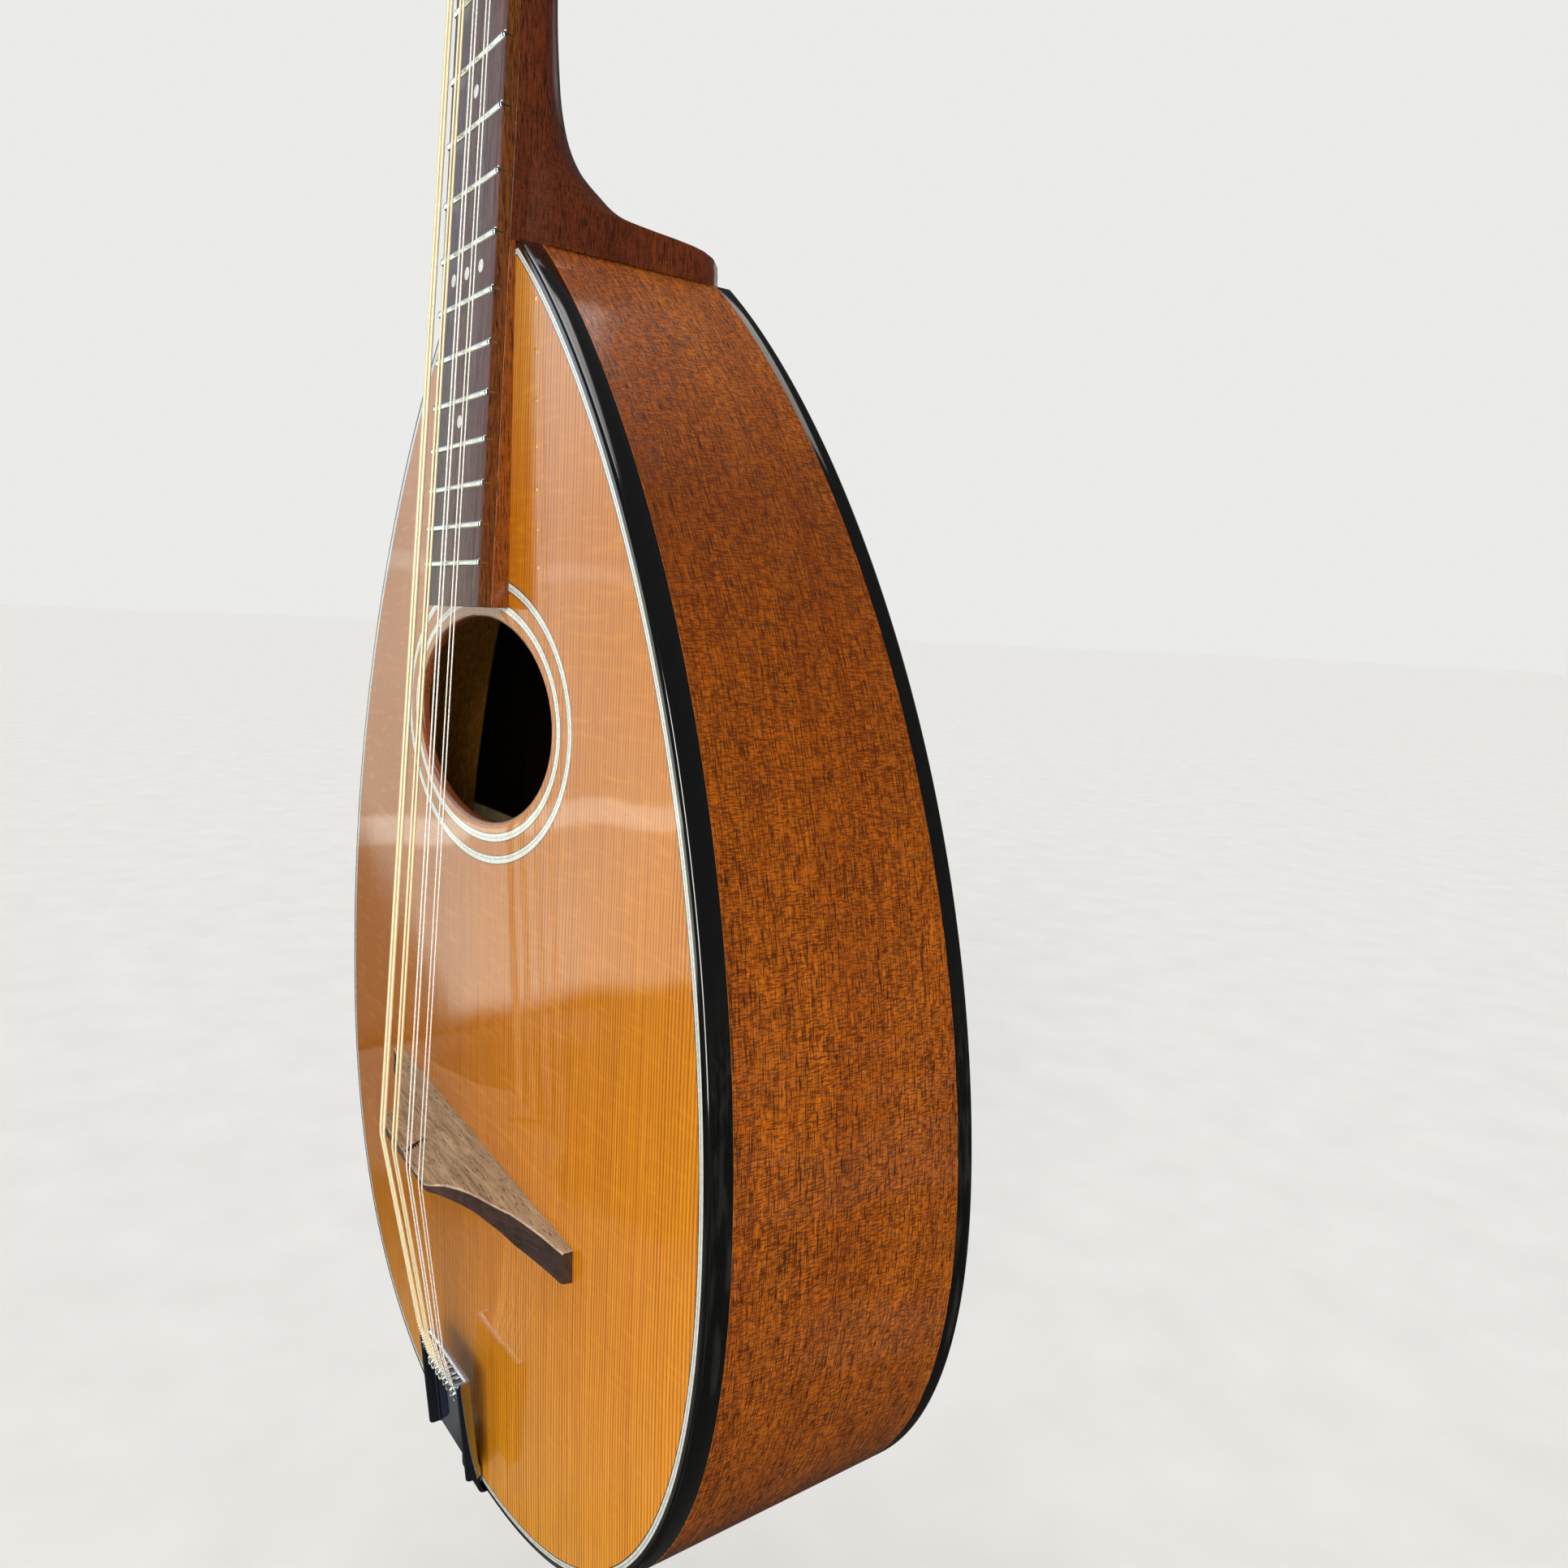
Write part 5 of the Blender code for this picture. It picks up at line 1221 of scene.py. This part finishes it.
xs_b = sorted(set(np.round(np.concatenate([np.linspace(-78, -24, 46), np.linspace(-24, -6, 16), np.linspace(-6, 7, 66), np.linspace(7, 24, 18),
                                            np.linspace(24, 78, 46)]), 3)))
loops = []
for x in xs_b:
    zf = bridge_front(x)
    top = float(pchip(BR_TOP, [abs(x)])[0])
    dep = float(pchip(BR_DEPTH, [abs(x)])[0])
    base = max(dep, 11.0)
    end = 78.0 - abs(x)
    pull = 0.35 * max(0.0, 1 - end / 0.6) ** 2
    r = 0.55
    db = float(dome(x, zf)) + 0.03
    pts = []
    for t in np.linspace(0, 1, 26):
        y = db + (top + r - db) * t
        pts.append((x, y, zf - step_back(x, y) - pull))
    for a in np.linspace(0, pi / 2, 6)[1:]:
        y = top + r - r * sin(a)
        pts.append((x, y + (pull if a > 1.5 else 0), zf - step_back(x, top + r) - r * (1 - cos(a)) - pull))
    for t in (0.35, 0.7):
        pts.append((x, top + 0.12 * sin(pi * t), zf - r - (dep - 2 * r) * t - step_back(x, top + r) * (1 - t)))
    rb = 0.6
    for a in np.linspace(0, pi / 2, 5):
        pts.append((x, top + rb - rb * cos(a), zf - dep + rb - rb * sin(a) + pull))
    dz = float(dome(x, zf - base)) + 0.03
    for t in np.linspace(0, 1, 8)[1:]:
        pts.append((x, (top + rb) + (dz - top - rb) * t, zf - dep - (base - dep) * t + pull))
    loops.append(pts)
v, f = loft(loops)
per = len(loops[0])
# painted light: front faces take the pale lit copy, the wings' rounded front edge the painted highlight, the step faces
# the dark step shade, and top, back and ends the dark shaded copy
idx = []
for g in f:
    if len(g) > 4:
        idx.append(1)
        continue
    j = min(g[0] % per, g[1] % per) if abs(g[0] % per - g[1] % per) == 1 else per - 1
    c = np.mean([v[i] for i in g], axis=0)
    line = float(np.interp(c[1], [p[0] for p in STEP_LINE], [p[1] for p in STEP_LINE]))
    if j < 26:
        idx.append(3 if -0.35 < c[0] - line < 0.75 - 0.07 * (c[1] + 27.0) and c[1] < -17.5 and j < 25 else 0)
    elif j < 30:
        idx.append(2 if abs(c[0]) > 25 else 0)
    else:
        idx.append(1)
bridge = make("bridge_wood", [(v, f, idx)], [M_BRIDGE, M_BRIDGE_TOP_SHADED, M_BRIDGE_EDGE_HIGHLIGHT, M_BRIDGE_STEP], replaces=("bridge",), sharp=38)
slots = []
for c in range(4):
    for j in (-0.5, 0.5):
        x = SADDLE_X[c] + j * PAIR_S
        r = STRING_R[c] + 0.08
        zf = bridge_front(x)
        m = 12
        slots.append(loft([[(x + r * cos(2 * pi * k / m), -27.5 - STRING_R[c] + r * sin(2 * pi * k / m), zz) for k in range(m)]
                           for zz in (zf + 2.0, zf - 6.0)]))
for s in slots:
    cut(bridge, s)
bridge.data.shade_smooth()
bridge.data.set_sharp_from_angle(angle=radians(38))

# ------------------------------------------------------------ tailpiece
# a pressed tray with two upturned sides; a tongue steps down from its lower
# edge to the rim and turns over the tail
TP_T, TRAY_HALF, TRAY_WALL = 1.0, 18.65, 4.25
shapes = []
lp = []
R_IN = 0.9
for z in [-118.55, -118.4, -117.9] + list(np.linspace(-117.0, -82.0, 12)) + [-81.2, -80.75, -80.6]:
    y, w = tray_y(z), TRAY_HALF
    e = min(z + 118.55, -80.6 - z)
    wall = TRAY_WALL - 0.9 * max(0.0, 1 - e / 0.9) ** 2      # rounded wall corners
    sec = []
    for k in range(9):                                        # free edge of the wall, outside first
        q = pi * k / 8
        sec.append((w - TP_T / 2 + TP_T / 2 * cos(q), -wall + TP_T / 2 * (1 - sin(q))))
    for k in range(6):
        q = pi / 2 * k / 5
        sec.append((w - TP_T - R_IN + R_IN * cos(q), -R_IN + R_IN * sin(q)))
    inner = sec
    outer = []
    ro = R_IN + TP_T * 0.6
    for k in range(7):
        q = pi / 2 * k / 6
        outer.append((w - ro + ro * cos(q), TP_T - ro + ro * sin(q)))
    half_sec = outer[::-1] + sec            # centre-bottom, up the outside, over the edge, down the inside
    full = half_sec + [(-a, d) for a, d in reversed(half_sec)]
    lp.append([(a, y + d, z) for a, d in full])
tray = make("tailpiece_tray", [loft(lp)], M_CHROME, replaces=("tailpiece",), sharp=30)
TONGUE = [(33.2, -134.3, 5.6), (32.6, -134.3, 6.4), (31.0, -134.3, 7.2), (8.0, -134.3, 8.0), (1.0, -134.3, 8.0), (-0.4, -134.1, 8.0),
          (-1.3, -133.5, 8.0), (-1.85, -132.6, 8.0), (-2.05, -131.5, 8.0), (-2.2, -125.0, 8.2), (-2.5, -123.0, 8.4), (-3.4, -121.3, 8.8),
          (-5.6, -119.0, 9.6), (-6.3, -118.1, 10.0), (-6.62, -116.8, 10.4)]
lp = []
for i, (y, z, w) in enumerate(TONGUE):
    a, b = TONGUE[max(i - 1, 0)], TONGUE[min(i + 1, len(TONGUE) - 1)]
    ty, tz = b[0] - a[0], b[1] - a[1]
    n = sqrt(ty * ty + tz * tz)
    ny, nz = tz / n, -ty / n
    lp.append([(s, y + ny * d, z + nz * d) for s, d in ((-w, 0.2), (-w + 0.2, 0.02), (w - 0.2, 0.02), (w, 0.2), (w, 0.85), (w - 0.2, 1.05), (-w + 0.2, 1.05), (-w, 0.85))])
make("tailpiece_tongue", [loft(lp)], M_CHROME, replaces=("tailpiece",), sharp=30)
# rolled front lip and the eight hooks cut from the sheet
shapes = []
lp = []
for x in np.linspace(-TRAY_HALF + 0.95, TRAY_HALF - 0.95, 9):
    lp.append([(float(x), tray_y(-80.9) - 0.1 + 0.85 * cos(2 * pi * k / 14), -81.45 + 0.85 * sin(2 * pi * k / 14)) for k in range(14)])
shapes.append(loft(lp))
for c in range(4):
    for j in (-0.5, 0.5):
        x = HOOK_X[c] + j * PAIR_H
        lp = []
        for z, h, wd, th in ((-86.9, -0.3, 0.88, 0.7), (-87.0, 1.4, 0.86, 0.7), (-87.3, 2.6, 0.84, 0.72), (-87.7, 3.3, 0.80, 0.75), (-88.15, 3.65, 0.72, 0.7)):
            # a tongue standing up and leaning towards the tail
            top = tray_y(-87.5) - h
            lp.append([(x - wd, top, z), (x - wd * 0.7, top, z + 0.12), (x + wd * 0.7, top, z + 0.12), (x + wd, top, z),
                       (x + wd, top + 0.12, z - th), (x + wd * 0.7, top + 0.12, z - th - 0.1), (x - wd * 0.7, top + 0.12, z - th - 0.1), (x - wd, top + 0.12, z - th)])
        shapes.append(loft(lp))
make("string_hooks", shapes, M_HOOK, replaces=("tailpiece",), sharp=40)
# small beads on the tray's corners
shapes = []
for sg in (-1, 1):
    for zc in (-118.0, -81.2):
        lp = []
        cx, cy = sg * (TRAY_HALF - 0.55), tray_y(zc) - TRAY_WALL + 0.75
        for a in np.linspace(-pi / 2, pi / 2, 9):
            lp.append([(cx + 0.5 * cos(a) * cos(2 * pi * k / 12), cy - 0.5 * sin(a), zc + 0.5 * cos(a) * sin(2 * pi * k / 12)) for k in range(12)])
        shapes.append(loft(lp[1:-1]))
make("tailpiece_beads", shapes, M_CHROME, replaces=("tailpiece",), sharp=60)
for name, y in (("upper", 13.0), ("lower", 26.0)):
    shapes = dome_screw(lambda a, b, c, y=y: (a, y + c, -134.35 - b), 3.2, 2.0)
    make("tail_screw_" + name, shapes, [M_NICKEL, M_BLACK], replaces=("tailpiece_screw_" + name,), sharp=35)

# ------------------------------------------------------------ pieces kept from the frame
# painted shade: near-black wood for the back linings and back braces inside the body, where shade falls
M_SHADE = mahogany("painted_shade_wood", light=(26, 17, 10), mid=(20, 13, 8), dark=(10, 6, 4), coat=0.0, gloss=0.4, ripple=0.0, figure=0.2)
M_LINING = mahogany("lining_wood", light=(206, 160, 104), mid=(186, 138, 84), dark=(140, 96, 52), coat=0.0, gloss=0.3, ripple=0.2, figure=0.2)
for node, mat in (("neck_block", M_BLOCK), ("tail_block", M_BLOCK), ("lining_top_bass", M_LINING), ("lining_top_treble", M_LINING),
                  ("lining_back_bass", M_SHADE), ("lining_back_treble", M_SHADE), ("brace_top_upper", M_BARE), ("brace_top_lower", M_BARE),
                  ("tone_bar_bass", M_BARE), ("tone_bar_treble", M_BARE), ("brace_back_upper", M_SHADE), ("brace_back_middle", M_SHADE),
                  ("brace_back_lower", M_SHADE), ("truss_rod", M_STEEL)):
    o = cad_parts[node]
    o.data.materials.clear()
    o.data.materials.append(mat)

# ------------------------------------------------------------ floor, world and lights
scene = bpy.context.scene
scene.view_settings.view_transform = 'Standard'
scene.view_settings.look = 'None'
FLOOR_Z = -0.92
fm = Mat("floor")
fn = fm.noise(fm.coords(), 14.0, 3.0, 0.55)
fm.set(color=fm.mix(fm.maprange(fn, 0.3, 0.7, 0.0, 1.0), (0.66, 0.655, 0.645), (0.70, 0.695, 0.685)), rough=0.8, spec=0.0)
# painted reflection: in mirror rays the floor glows as a dim room with soft brighter spots
dim = fm.n("ShaderNodeEmission")
dim.inputs["Color"].default_value = (1.0, 0.98, 0.9, 1)
spots = fm.noise(fm.coords(), 3.6, 2.0, 0.5)
fm.link(fm.maprange(spots, 0.50, 0.60, 0.03, 0.17), dim.inputs["Strength"])
path = fm.n("ShaderNodeLightPath")
mixf = fm.n("ShaderNodeMixShader")
fm.link(path.outputs["Is Glossy Ray"], mixf.inputs[0])
fm.link(fm.bsdf.outputs[0], mixf.inputs[1])
fm.link(dim.outputs[0], mixf.inputs[2])
fm.link(mixf.outputs[0], fm.nt.nodes["Material Output"].inputs["Surface"])
me = bpy.data.meshes.new("floor")
me.from_pydata([(-45, -45, FLOOR_Z), (45, -45, FLOOR_Z), (45, 45, FLOOR_Z), (-45, 45, FLOOR_Z)], [], [(0, 1, 2, 3)])
me.materials.append(fm.m)
floor = bpy.data.objects.new("floor", me)
scene.collection.objects.link(floor)

# the room is dim all round, so that the lacquer stays deep; the backdrop is pale
world = bpy.data.worlds.new("studio")
scene.world = world
world.use_nodes = True
wt = world.node_tree
bg = wt.nodes["Background"]
bg.inputs["Color"].default_value = (1.0, 0.96, 0.92, 1)
bg.inputs["Strength"].default_value = 0.16
bg2 = wt.nodes.new("ShaderNodeBackground")
bg2.inputs["Color"].default_value = (0.83, 0.83, 0.82, 1)
bg2.inputs["Strength"].default_value = 1.0
lp_node = wt.nodes.new("ShaderNodeLightPath")
mixw = wt.nodes.new("ShaderNodeMixShader")
wt.links.new(lp_node.outputs["Is Camera Ray"], mixw.inputs[0])
bg3 = wt.nodes.new("ShaderNodeBackground")
bg3.inputs["Color"].default_value = (0.9, 0.95, 1.0, 1)
bg3.inputs["Strength"].default_value = 0.06
mixg = wt.nodes.new("ShaderNodeMixShader")
wt.links.new(lp_node.outputs["Is Glossy Ray"], mixg.inputs[0])
wt.links.new(bg.outputs[0], mixg.inputs[1])
wt.links.new(bg3.outputs[0], mixg.inputs[2])
wt.links.new(mixg.outputs[0], mixw.inputs[1])
wt.links.new(bg2.outputs[0], mixw.inputs[2])
wt.links.new(mixw.outputs[0], wt.nodes["World Output"].inputs["Surface"])


def area(name, loc, target, sx, sy, power, colour=(1, 1, 1), spread=180):
    l = bpy.data.lights.new(name, 'AREA')
    l.shape = 'RECTANGLE'
    l.size, l.size_y = sx, sy
    l.energy = power
    l.color = colour
    l.spread = radians(spread)
    o = bpy.data.objects.new(name, l)
    o.location = loc
    o.rotation_euler = (Vector(target) - Vector(loc)).to_track_quat('-Z', 'Y').to_euler()
    o.visible_camera = False
    scene.collection.objects.link(o)
    return o


def softbox(name, loc, target, sx, sy, strength, colour, feather=(0.25, 0.25), bars=(), warp=0.0, corner=None, upper=None, lights=False):
    """A glowing panel that fades to its edges; the lacquer mirrors it."""
    me = bpy.data.meshes.new(name)
    me.from_pydata([(-sx / 2, -sy / 2, 0), (sx / 2, -sy / 2, 0), (sx / 2, sy / 2, 0), (-sx / 2, sy / 2, 0)], [], [(0, 1, 2, 3)])
    uv = me.uv_layers.new(name="UVMap")
    for i, c in enumerate(((0, 0), (1, 0), (1, 1), (0, 1))):
        uv.data[i].uv = c
    mt = bpy.data.materials.new(name)
    mt.use_nodes = True
    nt = mt.node_tree
    nt.nodes.clear()
    k = Mat.__new__(Mat)
    k.m, k.nt = mt, nt
    t = k.n("ShaderNodeTexCoord")
    u, v, _ = k.sep(t.outputs["UV"])

    def edge(c, f):
        d = k.math('SUBTRACT', 0.5, k.math('ABSOLUTE', k.math('SUBTRACT', c, 0.5)))
        r = k.n("ShaderNodeMapRange", interpolation_type='SMOOTHSTEP')
        k.link(d, r.inputs[0])
        r.inputs[1].default_value, r.inputs[2].default_value = 0.0, f
        return r.outputs[0]
    wave = k.noise(k.comb(k.math('MULTIPLY', u, 5.0), 0.0, 0.0), 1.0, 1.0, 0.5)
    v = k.math('ADD', v, k.math('MULTIPLY', k.math('SUBTRACT', wave, 0.5), warp))
    m = k.math('MULTIPLY', edge(u, feather[0]), edge(v, feather[1]))
    if corner:
        # the lower corner is cut off along a slanting line
        r = k.n("ShaderNodeMapRange", interpolation_type='SMOOTHSTEP')
        k.link(k.math('SUBTRACT', v, k.math('MULTIPLY', k.math('SUBTRACT', u, corner[0]), corner[1])), r.inputs[0])
        r.inputs[1].default_value, r.inputs[2].default_value = -0.02, 0.05
        r.inputs[3].default_value = corner[2]
        m = k.math('MULTIPLY', m, r.outputs[0])
    for v0, hw, gain in bars:
        r = k.n("ShaderNodeMapRange", interpolation_type='SMOOTHSTEP')
        k.link(k.math('ABSOLUTE', k.math('SUBTRACT', v, v0)), r.inputs[0])
        r.inputs[1].default_value, r.inputs[2].default_value = hw, hw * 0.5
        m = k.math('MULTIPLY', m, k.math('ADD', 1.0, k.math('MULTIPLY', r.outputs[0], gain)))
    cloud = k.noise(k.comb(k.math('MULTIPLY', u, 3.0), k.math('MULTIPLY', v, 4.0), 0.0), 1.0, 2.0, 0.5)
    m = k.math('MULTIPLY', m, k.maprange(cloud, 0.35, 0.65, 0.85, 1.1))
    e = k.n("ShaderNodeEmission")
    if upper:
        m = k.math('MULTIPLY', m, k.maprange(u, 0.68, 0.80, 1.0, 0.62))
        k.link(k.mix(k.maprange(v, 0.35, 0.62, 0.0, 1.0), colour, upper), e.inputs["Color"])
    else:
        e.inputs["Color"].default_value = (*colour, 1)
    k.link(k.math('MULTIPLY', m, strength), e.inputs["Strength"])
    out = k.n("ShaderNodeOutputMaterial")
    k.link(e.outputs[0], out.inputs["Surface"])
    me.materials.append(mt)
    o = bpy.data.objects.new(name, me)
    o.location = loc
    o.rotation_euler = (Vector(target) - Vector(loc)).to_track_quat('Z', 'Y').to_euler()
    o.visible_camera = False
    o.visible_diffuse = lights
    o.visible_shadow = lights
    scene.collection.objects.link(o)
    return o


def sun(name, direction, strength, angle, colour=(1, 1, 1)):
    l = bpy.data.lights.new(name, 'SUN')
    l.energy, l.angle, l.color = strength, radians(angle), colour
    o = bpy.data.objects.new(name, l)
    o.rotation_euler = Vector(direction).to_track_quat('-Z', 'Y').to_euler()
    scene.collection.objects.link(o)
    return o


# a wide window to the bass side and a little in front, mirrored by the lacquered top
softbox("window", (-0.75, -0.45, -0.235), (0.1, -0.45, -0.235), 0.84, 1.17, 1.30, (0.95, 1.0, 0.88), (0.08, 0.030),
        bars=((0.188, 0.016, 1.0), (0.41, 0.010, 0.35)), warp=0.05, corner=(0.690, 1.2, 0.12), upper=(0.84, 0.96, 1.12))
# a tall panel beside the camera runs as a bright line down strings and edges
softbox("front", (1.20, -1.35, -0.20), (0, 0, -0.30), 0.60, 1.9, 13.0, (1.0, 0.98, 0.93), (0.2, 0.12))
# a dim panel above and behind, mirrored by the shoulder and the heel
softbox("above", (0.15, 0.50, 1.45), (0.1, 0.0, -0.3), 1.2, 0.7, 2.0, (1.0, 0.94, 0.90), (0.12, 0.12))
# a dim panel behind, mirrored by the tuner plates and the lacquer of the back
softbox("behind", (-0.60, 2.00, 0.25), (-0.1, 0.0, -0.1), 1.5, 1.2, 1.1, (1.0, 0.97, 0.92), (0.3, 0.3))
for name, source, strength, angle, colour in (("key", (1.25, -1.15, 0.50), 2.72, 30, (1.0, 0.99, 0.95)),
                                              ("fill", (2.2, -0.5, 0.35), 0.75, 60, (1.0, 0.98, 0.95)),
                                              ("rear", (-0.7, 1.2, 0.8), 1.1, 60, (1.0, 0.98, 0.95))):
    sun(name, tuple(-k for k in source), strength, angle, colour).visible_glossy = False
sun("sky", (0.05, 0.12, -1.0), 1.8, 50, (1.0, 0.995, 0.99))

bpy.context.view_layer.update()
